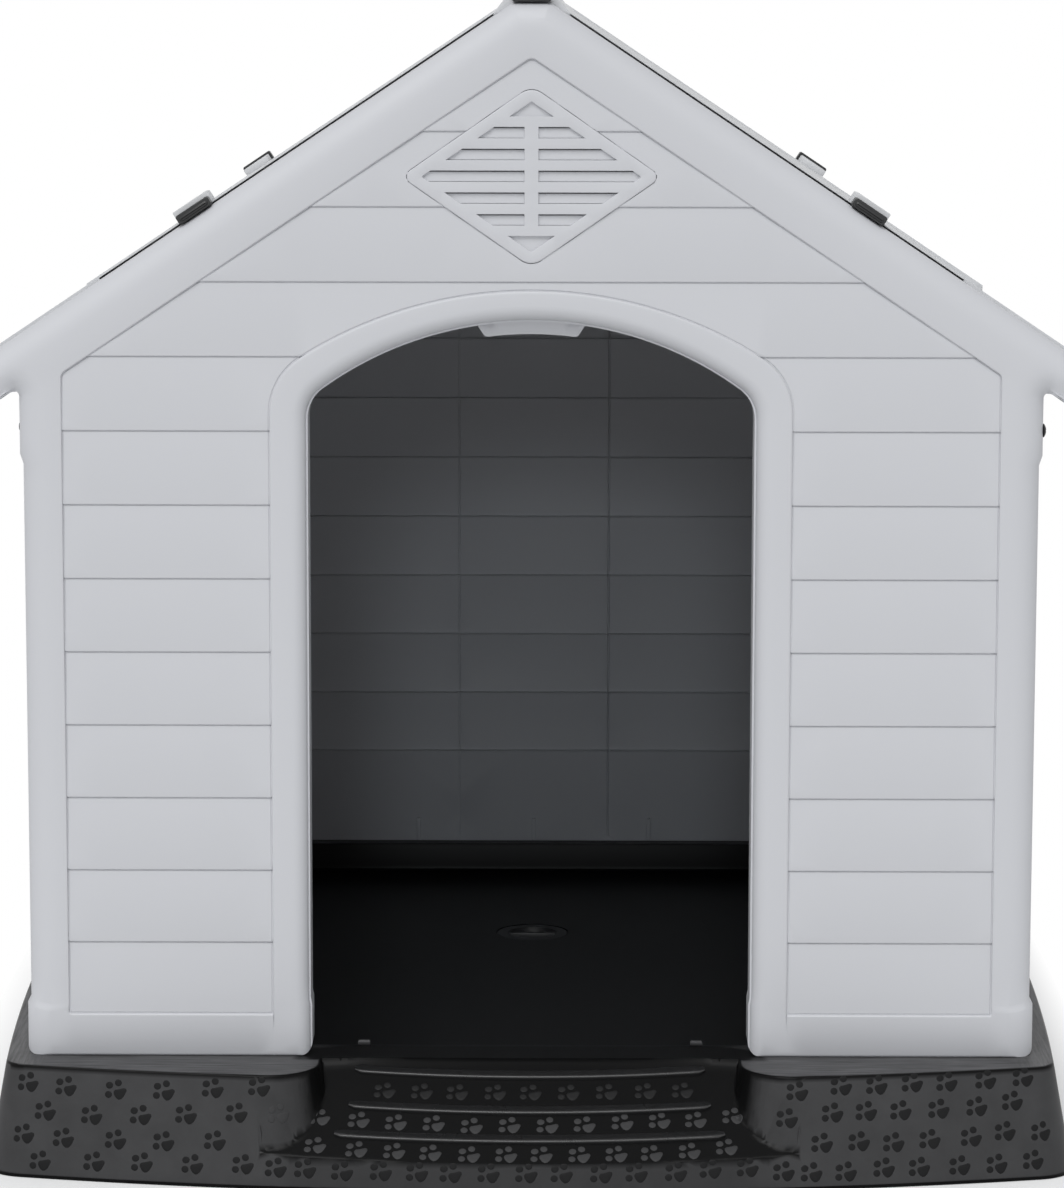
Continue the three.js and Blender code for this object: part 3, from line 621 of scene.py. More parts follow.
def grained_plastic(name, colour, roughness, grain, grain_depth, mottle, sheen=0.5):
    """An injection-moulded plastic: even colour with a faint cloudiness from the melt, and
    the fine spark-eroded grain of the mould as bump. Sizes are in metres."""
    _, tree, place = blank_material(name)
    cloud = noise(tree, place, CLOUD_SIZE, 3.0, 0.55)
    tint = add(tree, "ShaderNodeMix", {"Factor": cloud}, data_type="RGBA")
    set_mix(tint, shade(colour, 1 - mottle), shade(colour, 1 + mottle))
    bump = add(tree, "ShaderNodeBump", {"Height": noise(tree, place, grain, 2.0, 0.6), "Strength": 0.35,
                                        "Distance": grain_depth})
    surface(tree, {"Base Color": tint.outputs[2], "Normal": bump.outputs["Normal"], "IOR": PLASTIC_IOR,
                   "Roughness": ranged(tree, cloud, roughness - 0.04, roughness + 0.05, 0.3, 0.7),
                   "Specular IOR Level": sheen})


def set_mix(node, low, high):
    """A colour Mix node's own colour sockets share their names with the other kinds."""
    colours = [s for s in node.inputs if s.type == "RGBA"]
    colours[0].default_value, colours[1].default_value = low, high


def mix_sockets(tree, node, factor, low, high=None):
    """Links a colour Mix node's factor and colours."""
    tree.links.new(factor, next(s for s in node.inputs if s.name == "Factor" and s.type == "VALUE"))
    colours = [s for s in node.inputs if s.type == "RGBA"]
    for value, socket in zip((low, high), colours):
        if value is not None:
            tree.links.new(value, socket)


class DOGHOUSE_OT_finishes(bpy.types.Operator):
    """Make the materials of the walls, roof, base, keys and screws"""
    bl_idname = "doghouse.finishes"
    bl_label = "Finishes"

    def execute(self, context):
        colours = context.scene.doghouse_colours
        # Polypropylene with a fine matt grain: soft, broad sheen and even light grey.
        grained_plastic("wall_polypropylene", tuple(colours.wall), 0.52, 0.0012, 0.00004, 0.012)
        grained_plastic("roof_polypropylene", tuple(colours.roof), 0.5, 0.0013, 0.00005, 0.015)
        # Charcoal polypropylene, coarser grain, with scuffs drawn out along the ledge. The ledge and curb
        # tops are lightened as painted light, and the polished parts are darkened as painted shade.
        charcoal_plastic("base_polypropylene", tuple(colours.base))
        # The same plastic, polished in the mould, for the paw prints.
        base = Vector(colours.base[:3])
        grained_plastic("polished_paw_print", (*base * 0.3, 1.0), 0.45, 0.004, 0.00001, 0.2, sheen=0.1)
        # Matt prints and satin ribs on the polished ramp. The ribs' colour is darkened well below the
        # base's as painted shade, like the ramp's.
        grained_plastic("grained_paw_print", (*base * 0.95, 1.0), 0.55, 0.0012, 0.00008, 0.25, sheen=0.2)
        # The prints high on the ramp, by the doorway, are darkened as painted shade.
        grained_plastic("faint_paw_print", (*base * 0.3, 1.0), 0.5, 0.0012, 0.00008, 0.25, sheen=0.15)
        grained_plastic("grip_rib", (*base * 0.35, 1.0), 0.26, 0.0012, 0.00002, 0.1, sheen=0.55)
        # Glass-filled nylon keys and plug: dark with a slight satin sheen.
        grained_plastic("key_nylon", tuple(colours.key), 0.42, 0.0009, 0.00004, 0.04)
        black_oxide_steel("black_oxide_steel", tuple(colours.screw))
        return {"FINISHED"}


def charcoal_plastic(name, colour):
    """Charcoal polypropylene from one mould with three surfaces: spark-eroded grain on the outer faces;
    polish on the ramp, sill, well and edges, darkened there almost to black as painted shade; and pale
    scuffs drawn along the ledge, lightened as painted light there and on the curb tops."""
    _, tree, place = blank_material(name)
    polish, scuff, sideways = (add(tree, "ShaderNodeAttribute", attribute_name=key).outputs["Fac"]
                               for key in ("polish", "scuff", "sideways"))
    cloud = noise(tree, place, 0.022, 4.0, 0.6)
    speck = noise(tree, place, 0.0013, 2.0, 0.6)
    drawn = []
    for sizes in ((SCUFF_LONG, SCUFF_WIDE, SCUFF_WIDE), (SCUFF_WIDE, SCUFF_LONG, SCUFF_WIDE)):
        along = add(tree, "ShaderNodeMapping", {"Vector": place, "Scale": tuple(1 / s for s in sizes)})
        drawn.append(noise(tree, along.outputs["Vector"], 1, 4.0, 0.7))
    streaks = add(tree, "ShaderNodeMix", {"Factor": sideways, "A": drawn[0], "B": drawn[1]})
    grain = add(tree, "ShaderNodeMix", {"Factor": cloud}, data_type="RGBA")
    set_mix(grain, shade(colour, 0.72), shade(colour, 1.35))
    # The scuffed tops are made up to three times lighter than the base: pale streaks of the scuffs, plus
    # painted light on the ledge and curb tops.
    pale = ranged(tree, streaks.outputs["Result"], 0.7, 3.0, 0.32, 0.68)
    scuffed_and_lit = add(tree, "ShaderNodeVectorMath", {0: colour[:3], "Scale": pale}, operation="SCALE")
    shown = add(tree, "ShaderNodeMix", data_type="RGBA")
    mix_sockets(tree, shown, scuff, grain.outputs[2], scuffed_and_lit.outputs[0])
    final = add(tree, "ShaderNodeMix", data_type="RGBA")
    # Where polished, the colour is darkened almost to black: painted shade.
    set_mix(final, colour, shade(colour, 0.11))
    mix_sockets(tree, final, polish, shown.outputs[2])
    bump = add(tree, "ShaderNodeBump", {"Height": speck, "Strength": ranged(tree, polish, 0.35, 0.04),
                                        "Distance": 0.00012})
    surface(tree, {"Base Color": final.outputs[2], "Normal": bump.outputs["Normal"], "IOR": PLASTIC_IOR,
                   "Roughness": ranged(tree, polish, 0.52, 0.32),
                   "Specular IOR Level": ranged(tree, polish, 0.2, 0.07)})


def black_oxide_steel(name, colour):
    """Blackened steel screw heads: dark, low gloss, faintly mottled by the bath."""
    _, tree, place = blank_material(name)
    blotch = noise(tree, place, 0.0015, 3.0)
    tint = add(tree, "ShaderNodeMix", {"Factor": blotch}, data_type="RGBA")
    set_mix(tint, colour, shade(colour, 1.9))
    surface(tree, {"Base Color": tint.outputs[2], "Roughness": ranged(tree, blotch, 0.3, 0.5),
                   "Metallic": 1.0})


# ---------------------------------------------------------------- stage, lights and camera

# The photograph's view, solved from the clapboard lines of both gable walls.
CAMERA_AT = (9.7, -2898.0, 722.0)
CAMERA_LENS, CAMERA_SENSOR = 131.95, 36.0
CAMERA_PITCH, CAMERA_YAW, CAMERA_ROLL = 8.194, 0.199, 0.0975      # degrees; the pitch is downwards
KEY_WAY, KEY_SOFT = (0.16, 0.6, -0.78), 38.0                      # direction, and width in degrees
FRONT_WAY, FRONT_SOFT = (0.03, 1.0, -0.235), 7.0
WHITE = (1.0, 1.0, 1.0, 1.0)
HOUSE_HALF = (0.336, 0.386)           # half the base's width and depth, in metres
FLOOR_RADIUS, FLOOR_DROP = 14.0, 0.0004


def sun(name, strength, colour, softness, way):
    """A light with parallel rays."""
    light = bpy.data.objects.new(name, bpy.data.lights.new(name, "SUN"))
    light.data.energy, light.data.color = strength, colour
    light.data.angle = math.radians(softness)
    light.rotation_euler = Vector(way).to_track_quat("-Z", "Y").to_euler()
    bpy.context.scene.collection.objects.link(light)


class DOGHOUSE_OT_stage(bpy.types.Operator):
    """Make the pale floor, the soft light and the camera"""
    bl_idname = "doghouse.stage"
    bl_label = "Stage"

    def execute(self, context):
        scene, studio = context.scene, context.scene.doghouse_studio
        scene.view_settings.view_transform = "Standard"

        camera = bpy.data.objects.new("camera", bpy.data.cameras.new("camera"))
        camera.data.lens, camera.data.sensor_width = CAMERA_LENS, CAMERA_SENSOR
        camera.data.clip_end = 50.0
        pitch, yaw, roll = (math.radians(a) for a in (CAMERA_PITCH, CAMERA_YAW, CAMERA_ROLL))
        ahead = Vector((-math.sin(yaw) * math.cos(pitch), math.cos(yaw) * math.cos(pitch),
                        -math.sin(pitch)))
        turn = ahead.to_track_quat("-Z", "Y").to_matrix() @ Matrix.Rotation(roll, 3, "Z")
        camera.matrix_world = Matrix.Translation(Vector(CAMERA_AT) * MM) @ turn.to_4x4()
        scene.collection.objects.link(camera)
        scene.camera = camera

        # A broad light from above and in front, a little from the left, and a weak, slightly
        # cool one that is low enough to reach through the doorway.
        sun("key_light", studio.key, WHITE[:3], KEY_SOFT, KEY_WAY)
        sun("front_light", studio.front, (0.86, 0.94, 1.0), FRONT_SOFT, FRONT_WAY)

        world = bpy.data.worlds.new("studio")
        scene.world = world
        world.use_nodes = True
        tree = world.node_tree
        tree.nodes.clear()
        room = add(tree, "ShaderNodeBackground", {"Color": (0.97, 0.985, 1.0, 1.0),
                                                  "Strength": studio.fill})
        white = add(tree, "ShaderNodeBackground", {"Color": WHITE, "Strength": 1.0})
        mixed = add(tree, "ShaderNodeMixShader", {0: self.seen(tree), 1: room.outputs[0],
                                                  2: white.outputs[0]})
        add(tree, "ShaderNodeOutputWorld", {"Surface": mixed.outputs[0]})

        # A round pale floor. Far from the object it is seen as the white background.
        bm = bmesh.new()
        bmesh.ops.create_circle(bm, cap_ends=True, cap_tris=True, segments=96, radius=FLOOR_RADIUS)
        floor = from_bmesh("floor", bm)
        floor.location.z = -FLOOR_DROP
        paint, tree, place = blank_material("pale_floor")
        # How far out from the house, as a share of its own half width and half depth.
        share = add(tree, "ShaderNodeVectorMath", {0: place, 1: (1 / HOUSE_HALF[0], 1 / HOUSE_HALF[1], 0)},
                    operation="MULTIPLY")
        share = add(tree, "ShaderNodeVectorMath", {0: share.outputs[0]}, operation="ABSOLUTE")
        share = add(tree, "ShaderNodeSeparateXYZ", {0: share.outputs[0]})
        out = add(tree, "ShaderNodeMath", {0: share.outputs[0], 1: share.outputs[1]}, operation="MAXIMUM")
        far = ranged(tree, out.outputs[0], 0.0, 1.0, 0.98, 1.12)
        plain = add(tree, "ShaderNodeBsdfDiffuse", {"Color": (0.93, 0.93, 0.93, 1.0)})
        glow = add(tree, "ShaderNodeEmission", {"Color": WHITE, "Strength": 1.0})
        share = add(tree, "ShaderNodeMath", {0: self.seen(tree), 1: far}, operation="MULTIPLY")
        mixed = add(tree, "ShaderNodeMixShader", {0: share.outputs[0], 1: plain.outputs[0],
                                                  2: glow.outputs[0]})
        add(tree, "ShaderNodeOutputMaterial", {"Surface": mixed.outputs[0]})
        floor.data.materials.append(paint)
        return {"FINISHED"}

    @staticmethod
    def seen(tree):
        """1 for rays that see the background: straight, mirrored or through glass."""
        path = add(tree, "ShaderNodeLightPath")
        either = add(tree, "ShaderNodeMath", {0: path.outputs["Is Camera Ray"],
                                              1: path.outputs["Is Glossy Ray"]}, operation="MAXIMUM")
        return add(tree, "ShaderNodeMath", {0: either.outputs[0], 1: path.outputs["Is Transmission Ray"]},
                   operation="MAXIMUM").outputs[0]


# ---------------------------------------------------------------- gable walls

def on_slope(along, out):
    """A point on the right roof slope: along it from the apex, and out square to it."""
    return along * COS + out * SIN, APEX - along * SIN + out * COS


def slope_at(x, out):
    return APEX - SLOPE * abs(x) + out / COS


def doorway(grow, size, bottom):
    """Door outline from sill to sill over a flattened arch, grown outwards."""
    half, top, arch, corner = (size[k] + grow for k in ("half", "top", "arch", "corner"))
    arch_z = top - arch
    corner_x = half - corner
    corner_z = arch_z + math.sqrt((arch - corner) ** 2 - corner_x ** 2)
    turn = math.degrees(math.atan2(corner_z - arch_z, corner_x))
    right = [(half, bottom)] + arc(corner_x, corner_z, corner, 0, turn, 9) \
        + arc(0, arch_z, arch, turn, 90, 26)[1:]
    return right + mirrored(right)[1:]


def diamond(scale, grow=0.0, radii=(4.5, 11.0)):
    w, h = (v * scale + grow for v in VENT_HALF)
    side, end = radii
    return rounded([(w, VENT_Z, side), (0, VENT_Z + h, end), (-w, VENT_Z, side), (0, VENT_Z - h, end)])


def quarter(distance, radius, depth=None):
    """Depth of a rounded edge at a distance in from it."""
    depth = radius if depth is None else depth
    t = np.clip(1 - distance / radius, 0, 1)
    return depth * (1 - np.sqrt(1 - t ** 2))


# Height above a board's foot line, and how far the surface lies back there.
FOOT_Z = np.array([-1.5, -0.85, -0.3, -0.04, 0.04, 0.35, 0.9])


def board_face(z, low, height, groove):
    """Depth of lapped boards at height z."""
    share = ((z - low) / height) % 1.0
    depth = BOARD_FOOT + (BOARD_TOP - BOARD_FOOT) * share
    over = share * height
    over = np.where(over > height / 2, over - height, over)
    lap = np.interp(over, FOOT_Z, [BOARD_TOP - 0.03, BOARD_TOP, BOARD_TOP + groove, BOARD_TOP + groove,
                                   BOARD_FOOT + 0.55, BOARD_FOOT + 0.15, BOARD_FOOT + 0.04])
    return np.where((over > FOOT_Z[0]) & (over < FOOT_Z[-1]) & (z > low + 2), lap, depth)


FRAME_INTO = [0.0, 0.08, 0.5, 1.1]
FRAME_RINGS = [-0.8, -0.4, -0.08, 0.0] + FRAME_INTO[1:]


def framed(into, boards, groove, edge=0.8, edge_depth=0.6):
    """Depth near the frame round the boards; into is the distance into the boards."""
    outside = quarter(-into, edge, edge_depth)
    dip = np.interp(into, FRAME_INTO, [0.0, 1.0, 1.0, 0.0]) * groove
    return np.where(into <= 0, outside, boards + dip)


LOW_SLEEVE, HIGH_SLEEVE = (97, 101), (427, 433)      # heights where the sleeves end


def gable_outline(foot):
    """The right half of a gable wall's edge, from its foot to the ridge."""
    wide = HALF_WIDTH + SLEEVE
    return [
        foot, (wide, LOW_SLEEVE[0]), (HALF_WIDTH, LOW_SLEEVE[1]),
        (HALF_WIDTH, HIGH_SLEEVE[0]), (wide, HIGH_SLEEVE[1]),
        (wide, slope_at(wide, -EAVE_DEPTH), 3), (EAVE - 2.8, slope_at(EAVE - 2.8, -EAVE_DEPTH), 6),
        (EAVE, slope_at(EAVE, 0), 8), (RIDGE_HALF - 2.2, RIDGE + 1.5, 7)]


WALL_SHEER = 0.15           # width that a sheer face of a wall or roof takes up
VENT_SEAT = 3.0
NOSE_LEDGE = 1.2            # flat rim between the doorway's rounding and its jamb
BELOW = 20.0                # a height safely below every wall's foot
EDGE_DEPTH = 0.75           # of the outer rounding, as a share of its width
UNDER_EAVE = 2.5            # rounding of the eave's lower edge
TRIM_EDGE = (1.8, 1.0)      # width and depth of the door trim's edge
FOOT_SWELL = ([94.0, 98.0], [0.7, 0.0])
SHELF_TOP, SHELF_FOOT = -7, -11       # the shelf under the roof, out from the slope
MOULD_LINE = 56.0           # how far the lines inside the back wall stand from its middle
FOOT_RIB_X = (-87, 0, 87)


def gable_wall(name, with_door, replaces):
    sizes = bpy.context.scene.doghouse_walls
    height, rounding = sizes.board_height / MM, sizes.edge_rounding / MM
    nose, groove = sizes.bullnose / MM, sizes.groove / MM
    bottom = RIM + 0.1
    inner = HALF_WIDTH - SKIN
    door_half = DOOR["half"]

    # Outer edge, then the foot and, with a door, its jambs and arch.
    half = gable_outline((HALF_WIDTH + SLEEVE, bottom, 5))
    sides = rounded(half + mirrored(half), 7.5)
    # The same edge carried straight down past the foot, to round the face along.
    half = gable_outline((HALF_WIDTH + SLEEVE, BELOW))
    outer_line = densified(rounded(half + mirrored(half), 7.5), 12, False)
    # Under the eaves the rounding is tighter.
    eave_x = np.linspace(HALF_WIDTH + SLEEVE + 2, EAVE - 4, 4)
    eave_line = np.array([(x, slope_at(x, -EAVE_DEPTH)) for x in eave_x])
    eaves = [eave_line, eave_line * (-1, 1)]
    on_eave = off(outer_line, eaves) < 1.5
    outer_runs = [line for line, _ in runs(outer_line, ~on_eave, False)]
    foot_x = sorted({inner, inner - WALL_SHEER, door_half + SKIN, door_half + SKIN + WALL_SHEER})
    if with_door:
        bulge = 0.8                                  # the jambs' feet stand out a little
        foot_end, arch_start = LOW_SLEEVE
        arch = doorway(0, DOOR, arch_start)
        jamb = [(door_half - bulge, bottom, 7), (door_half - bulge, foot_end)]
        right_foot = rounded([(door_half + 60, bottom)] + jamb + [(door_half, arch_start)])[:-1]
        right_foot = [p for p in right_foot if p[0] <= door_half + 40]
        left_foot = [(-x, z) for x, z in right_foot]
        door_line = densified(left_foot + arch[::-1] + right_foot[::-1], 12, False)
        straight = [(door_half - bulge, BELOW), (door_half - bulge, foot_end)]
        door_edge = densified([(-x, z) for x, z in straight] + arch[::-1] + straight[::-1], 12, False)
        foot = sorted(set(np.linspace(door_half + 8, sides[0][0], 14)) | set(foot_x))
        right = [(x, bottom) for x in foot if door_half + 8 < x < sides[0][0] - 0.2]
        left = [(-x, z) for x, z in right][::-1]
        outline = list(map(tuple, densified(sides, 12, False))) + [
            p for p in left if p[0] > sides[-1][0] + 0.2] + list(map(tuple, door_line)) + right
    else:
        xs = sorted({*np.linspace(-sides[0][0] + 2, sides[0][0] - 2, 44),
                     inner, inner - WALL_SHEER, -inner, WALL_SHEER - inner})
        outline = list(map(tuple, densified(sides, 12, False))) + [(x, bottom) for x in xs]
    outline = np.array(outline)

    hole = densified(diamond(0.95), 12)
    field = densified(rounded([(-FIELD_HALF, BOARD_LOW, 1.5), (FIELD_HALF, BOARD_LOW, 1.5),
                               (FIELD_HALF, FIELD_SHOULDER, 5), (0, FIELD_APEX, 5),
                               (-FIELD_HALF, FIELD_SHOULDER, 5)], 12), 14)
    trim = densified(doorway(0, DOOR_TRIM, bottom - 20), 12)
    vent = densified(diamond(1), 12)

    def front(uv):
        into = signed(uv, field)
        by_trim = -signed(uv, trim) if with_door else np.full(len(uv), 999.0)
        by_vent = -signed(uv, vent)
        boards = board_face(uv[:, 1], BOARD_LOW, height, groove)
        depth = framed(np.minimum(into, by_trim), boards, groove)
        in_trim = with_door & (by_trim <= 0) & (into > 0)
        depth = np.where(in_trim, quarter(-by_trim, *TRIM_EDGE), depth)
        depth = np.where(by_vent <= 0, VENT_SEAT, depth)
        # The foot of the wall stands out a little all round.
        swell = np.interp(uv[:, 1], *FOOT_SWELL) * np.clip(-into, 0, 1)
        edge = quarter(off(uv, outer_runs), rounding, rounding * EDGE_DEPTH)
        edge = np.maximum(edge, quarter(off(uv, eaves), UNDER_EAVE))
        base = np.where(uv[:, 1] < bottom + 12, quarter(nearest(uv, outline)[0], 1.6), 0)
        if with_door:
            into_jamb = nearest(uv, door_edge, False)[0]
            ledge = quarter(np.maximum(into_jamb, NOSE_LEDGE), nose)
            edge = np.maximum(edge, ledge + np.interp(into_jamb, [NOSE_LEDGE - WALL_SHEER, NOSE_LEDGE],
                                                      [1.2, 0.0]))
        return np.maximum(depth, np.maximum(edge, base)) - swell

    shelf_half = HALF_WIDTH - 15.5
    pocket_right = [(x, slope_at(x, SHELF_FOOT)) for x in (inner, RIDGE_HALF)]
    pocket = np.array([(-inner, 0), (inner, 0)] + pocket_right + mirrored(pocket_right))

    def under_roof(x, out):
        """Height of a line under the roof, level near the ridge."""
        return np.minimum(slope_at(x, out), slope_at(RIDGE_HALF, out))

    def back(uv):
        into = signed(uv, pocket)
        if with_door:
            into = np.minimum(into, -signed(uv, grown))
        boards = np.where(signed(uv, field) > 0, 1.6 * board_face(uv[:, 1], BOARD_LOW, height, 0.4), 0.0)
        if with_door:
            boards = np.where(signed(uv, trim) > 0, 0.0, boards)
        boards = np.where(signed(uv, vent) > 0, 0.0, boards)
        panel = SKIN + boards
        if not with_door:                            # moulding lines on the inside of the back
            for x, deep in ((MOULD_LINE, 0.5), (-MOULD_LINE, 1.4)):
                panel = panel - np.interp(np.abs(uv[:, 0] - x), [0.0, 0.25, 0.9], [deep, deep, 0.0])
        depth = np.interp(into, [0.0, WALL_SHEER], [1.0, 0.0]) * (RETURN - panel) + panel
        x = np.abs(uv[:, 0])
        on_shelf = (x < shelf_half) & (uv[:, 1] < under_roof(x, SHELF_TOP)) \
            & (uv[:, 1] > under_roof(x, SHELF_FOOT))
        depth = np.maximum(depth, np.minimum(front(uv) + 3.2, RETURN - 1))
        return np.where(on_shelf, RETURN + 12, depth)

    grown = densified(doorway(SKIN, DOOR, 0), 12)
    lines = [level(-FIELD_HALF, FIELD_HALF, 29, BOARD_LOW + height * i + dz)
             for i in range(1, 13) for dz in FOOT_Z]
    frame_rings = rings(field, FRAME_RINGS)
    vent_rings = rings(vent, [-0.08, 0.0])
    front_lines = clipped(lines, field, [vent] + ([trim] if with_door else []), 0.02)
    front_lines += clipped(frame_rings, outline, [trim] if with_door else [], 0.02)
    front_lines += clipped(vent_rings, outline, [hole], 0.02)
    if with_door:
        front_lines += clipped(rings(trim, [-1.1, -0.5, -0.08, 0.0, 0.2, 0.6, 1.2, 1.8]), outline, [], 0.2)
        door_rings = [0.4, NOSE_LEDGE - WALL_SHEER, NOSE_LEDGE, 2.2, 3.4, 4.8, 6.6, 8.4, 10.0]
        nose_rings = rings(door_edge[::-1], [-d * nose / 10 for d in door_rings])
        front_lines += clipped(nose_rings, outline, [], 0.05)
    front_lines += clipped(rings(outer_line, [d * rounding / 16
                                              for d in (0.3, 1.1, 2.4, 4.2, 6.6, 9.4, 12.6, 16)]),
                           outline, [], 0.05)
    front_lines += clipped([(line + (0, d * COS), False) for line in eaves
                            for d in (0.3, 0.8, 1.4, 2.0, 2.6)],
                           outline, [], 0.05)
    foot_box = np.array([(-330, bottom - 5), (330, bottom - 5), (330, bottom + 12), (-330, bottom + 12)])
    front_lines += clipped(rings(outline, [0.2, 0.6, 1.6]), foot_box, [], 0.0)
    front_lines += clipped([level(-300, 300, 61, z) for z in (94, 96, 98)], outline, [], 0.05)

    back_lines = clipped(lines, field, [vent] + ([grown] if with_door else []), 0.3)
    pocket_line = densified(pocket, 15)
    back_lines += clipped([(pocket_line, True)] + rings(pocket_line, [WALL_SHEER]), outline, [], 0.05)
    shelf_x = [*np.linspace(-shelf_half, -RIDGE_HALF, 30), *np.linspace(RIDGE_HALF, shelf_half, 30)]
    shelf_ring = [(x, under_roof(x, SHELF_TOP)) for x in shelf_x]
    shelf_ring += [(x, under_roof(x, SHELF_FOOT)) for x in reversed(shelf_x)]
    back_lines += clipped([(shelf_ring, True)] + rings(densified(shelf_ring, 20), [-0.1]),
                          outline, [], 0.05)
    if with_door:
        back_lines += clipped([(grown, True)] + rings(grown, [-WALL_SHEER]), outline, [], 0.05)
        back_lines += clipped([(trim, True)], outline, [], 0.05)
    else:
        back_lines += clipped([upright(x + dx, 70, 600, 60) for x in (-MOULD_LINE, MOULD_LINE)
                               for dx in (-0.9, -0.25, 0.25, 0.9)], outline, [vent], 0.5)
    back_lines += [(vent, True)] if not with_door else clipped([(vent, True)], outline, [hole], 0.05)

    verts, faces = two_faced(outline, [hole], front_lines, back_lines, front, back,
                             lambda uv, depth: np.stack([uv[:, 0], FRONT + depth, uv[:, 1]], 1))
    if not with_door:
        verts = np.stack([-verts[:, 0], FRONT + BACK - verts[:, 1], verts[:, 2]], 1)
    return dress(new_object(name, verts, faces), "wall_polypropylene", replaces=replaces)


class DOGHOUSE_OT_gable_walls(bpy.types.Operator):
    """Build the front and back gable walls"""
    bl_idname = "doghouse.gable_walls"
    bl_label = "Gable walls"

    def execute(self, context):
        gable_wall("front_gable", True, ["front_wall"])
        gable_wall("back_gable", False, ["back_wall"])
        # Three short ribs stand inside the back wall's foot.
        rib = from_bmesh("one_rib", soft_box(((-1.5, -2.7, -8.8), (1.5, 2.7, 8.8)), 0.5))
        points = [Vector((x, BACK - SKIN - 2.4, RIM + 9.4)) * MM for x in FOOT_RIB_X]
        ribs = set_out("back_foot_ribs", points, [(0, 0, 0)] * 3, [(1, 1, 1)] * 3, rib,
                       "wall_polypropylene")
        dress(ribs, None)
        return {"FINISHED"}


# ---------------------------------------------------------------- base

# Ends and sides of the rim, the radii that they are bowed by, the corners' radius, and how
# far the wall below flares out.
BASE = {"front": -372.5, "back": 374.5, "side": 328.5, "front_bow": 1400.0, "back_bow": 5000.0,
        "side_bow": 4800.0, "corner": 16.0, "flare_front": 13.0, "flare_side": 12.0, "edge": 1.8}
# The step: where the ramp meets the ledge and ends, its rise, and the round blocks beside it.
STEP = {"sill": -321.0, "lip": -382.7, "rise": 0.797, "bow": 0.00021, "block": 157.0, "block_y": -335.6,
        "radius": 30.0, "flare": 11.0}
CURB_TOP, NOSING_TOP = 86.0, 72.0
CURB_RECT = (289.7, -306.7, 338.7)
WELL_RECT = (276.7, -286.0, 325.7)
DOOR_GAP = 142.0
DRAIN_Y, DRAIN_HOLE, DRAIN_SEAT, DRAIN_DEPTH = 114.0, 22.0, 25.5, 1.8


def base_plan(grow_front, grow_side):
    """Outline of the base: bowed ends and sides with round corners."""
    corner, side = BASE["corner"] + grow_side, BASE["side"] + grow_side
    front, back = BASE["front"] - grow_front, BASE["back"] + grow_front
    front_bow, back_bow, side_bow = BASE["front_bow"], BASE["back_bow"], BASE["side_bow"]
    middle = (BASE["front"] + BASE["back"]) / 2

    def corner_centre(end, bow):
        x, y = side - corner - 6, end
        for _ in range(20):
            y = end + bow - math.sqrt((bow - corner) ** 2 - x ** 2)
            x = side - side_bow + math.sqrt((side_bow - corner) ** 2 - (y - middle) ** 2)
        return (x, y, math.degrees(math.asin(x / (bow - corner))),
                math.degrees(math.asin((middle - y) / (side_bow - corner))))

    fx, fy, f_end, f_side = corner_centre(front, front_bow)
    bx, by, b_end, b_side = corner_centre(-back + 2 * middle, back_bow)
    by = 2 * middle - by
    right = arc(0, front + front_bow, front_bow, -90, -90 + f_end, 26)
    right += arc(fx, fy, corner, -90 + f_end, -f_side, 12)[1:]
    right += arc(side - side_bow, middle, side_bow, -f_side, b_side, 22)[1:]
    right += arc(bx, by, corner, b_side, 90 - b_end, 12)[1:]
    right += arc(0, back - back_bow, back_bow, 90 - b_end, 90, 10)[1:]
    return np.array(right + mirrored(right)[1:-1])


def block_plan():
    """The base's rim with the doorstep's space cut in, between two round block corners."""
    rim = base_plan(0, 0)
    x_join = 161.4
    radius, x, y = STEP["radius"], STEP["block"], STEP["block_y"] + 2.1
    tilt = math.degrees(math.asin(x_join / BASE["front_bow"]))
    corner = arc(x, y, radius, 180, 270 + tilt, 16)
    outer = [tuple(p) for p in rim if p[0] > x_join + 1 or p[1] > 0]
    left_out = [tuple(p) for p in rim if p[0] < -x_join - 1 and p[1] <= 0]
    right_out = [p for p in outer if not (p[0] < -x_join and p[1] <= 0)]
    sill = [(x - radius, STEP["sill"])]
    return np.array(sill + corner + right_out + left_out + mirrored(sill + corner))


def smooth_max(a, b, k):
    k = np.maximum(k, 1e-6)
    return np.maximum(a, b) + np.maximum(k - np.abs(a - b), 0) ** 2 / (4 * k)


def smooth_min(a, b, k):
    return -smooth_max(-a, -b, k)


def in_rect(x, y, rect):
    """Distance inside a rectangle that is even about x = 0."""
    half, low, high = rect
    return np.minimum(np.minimum(half - np.abs(x), y - low), high - y)


def rect_line(rect, inset=0.0, spacing=40.0):
    half, low, high = rect[0] - inset, rect[1] + inset, rect[2] - inset
    return densified([(-half, low), (half, low), (half, high), (-half, high)], spacing)


def ramp_height(x, y):
    return RIM + (y - STEP["sill"] - STEP["bow"] * x * x) * STEP["rise"]


def wall_height(out, flare):
    """Height of the flared wall at a distance outside its rim, with a rounded top edge."""
    edge = BASE["edge"]
    slant = np.hypot(flare, RIM)
    middle = edge * (flare - slant) / RIM
    tangent = middle + edge * RIM / slant
    curve = RIM - edge + np.sqrt(np.maximum(edge ** 2 - (out - middle) ** 2, 0))
    return np.where(out > tangent, RIM * (1 - out / flare), np.where(out > middle, curve, RIM))


def flare_at(points, plan):
    """How far the wall flares out at the rim stretch nearest to each point."""
    out, which, _ = nearest(points, plan)
    side = np.roll(plan, -1, 0)[which] - plan[which]
    side = side / np.maximum(np.linalg.norm(side, axis=1, keepdims=True), 1e-9)
    flare = BASE["flare_front"] * side[:, 0] ** 2 + BASE["flare_side"] * side[:, 1] ** 2
    recess = (np.abs(points[:, 0]) < STEP["block"] + 4.4) & (points[:, 1] < 0)
    return np.where(inside(points, plan), -out, out), np.where(recess, STEP["flare"], flare)


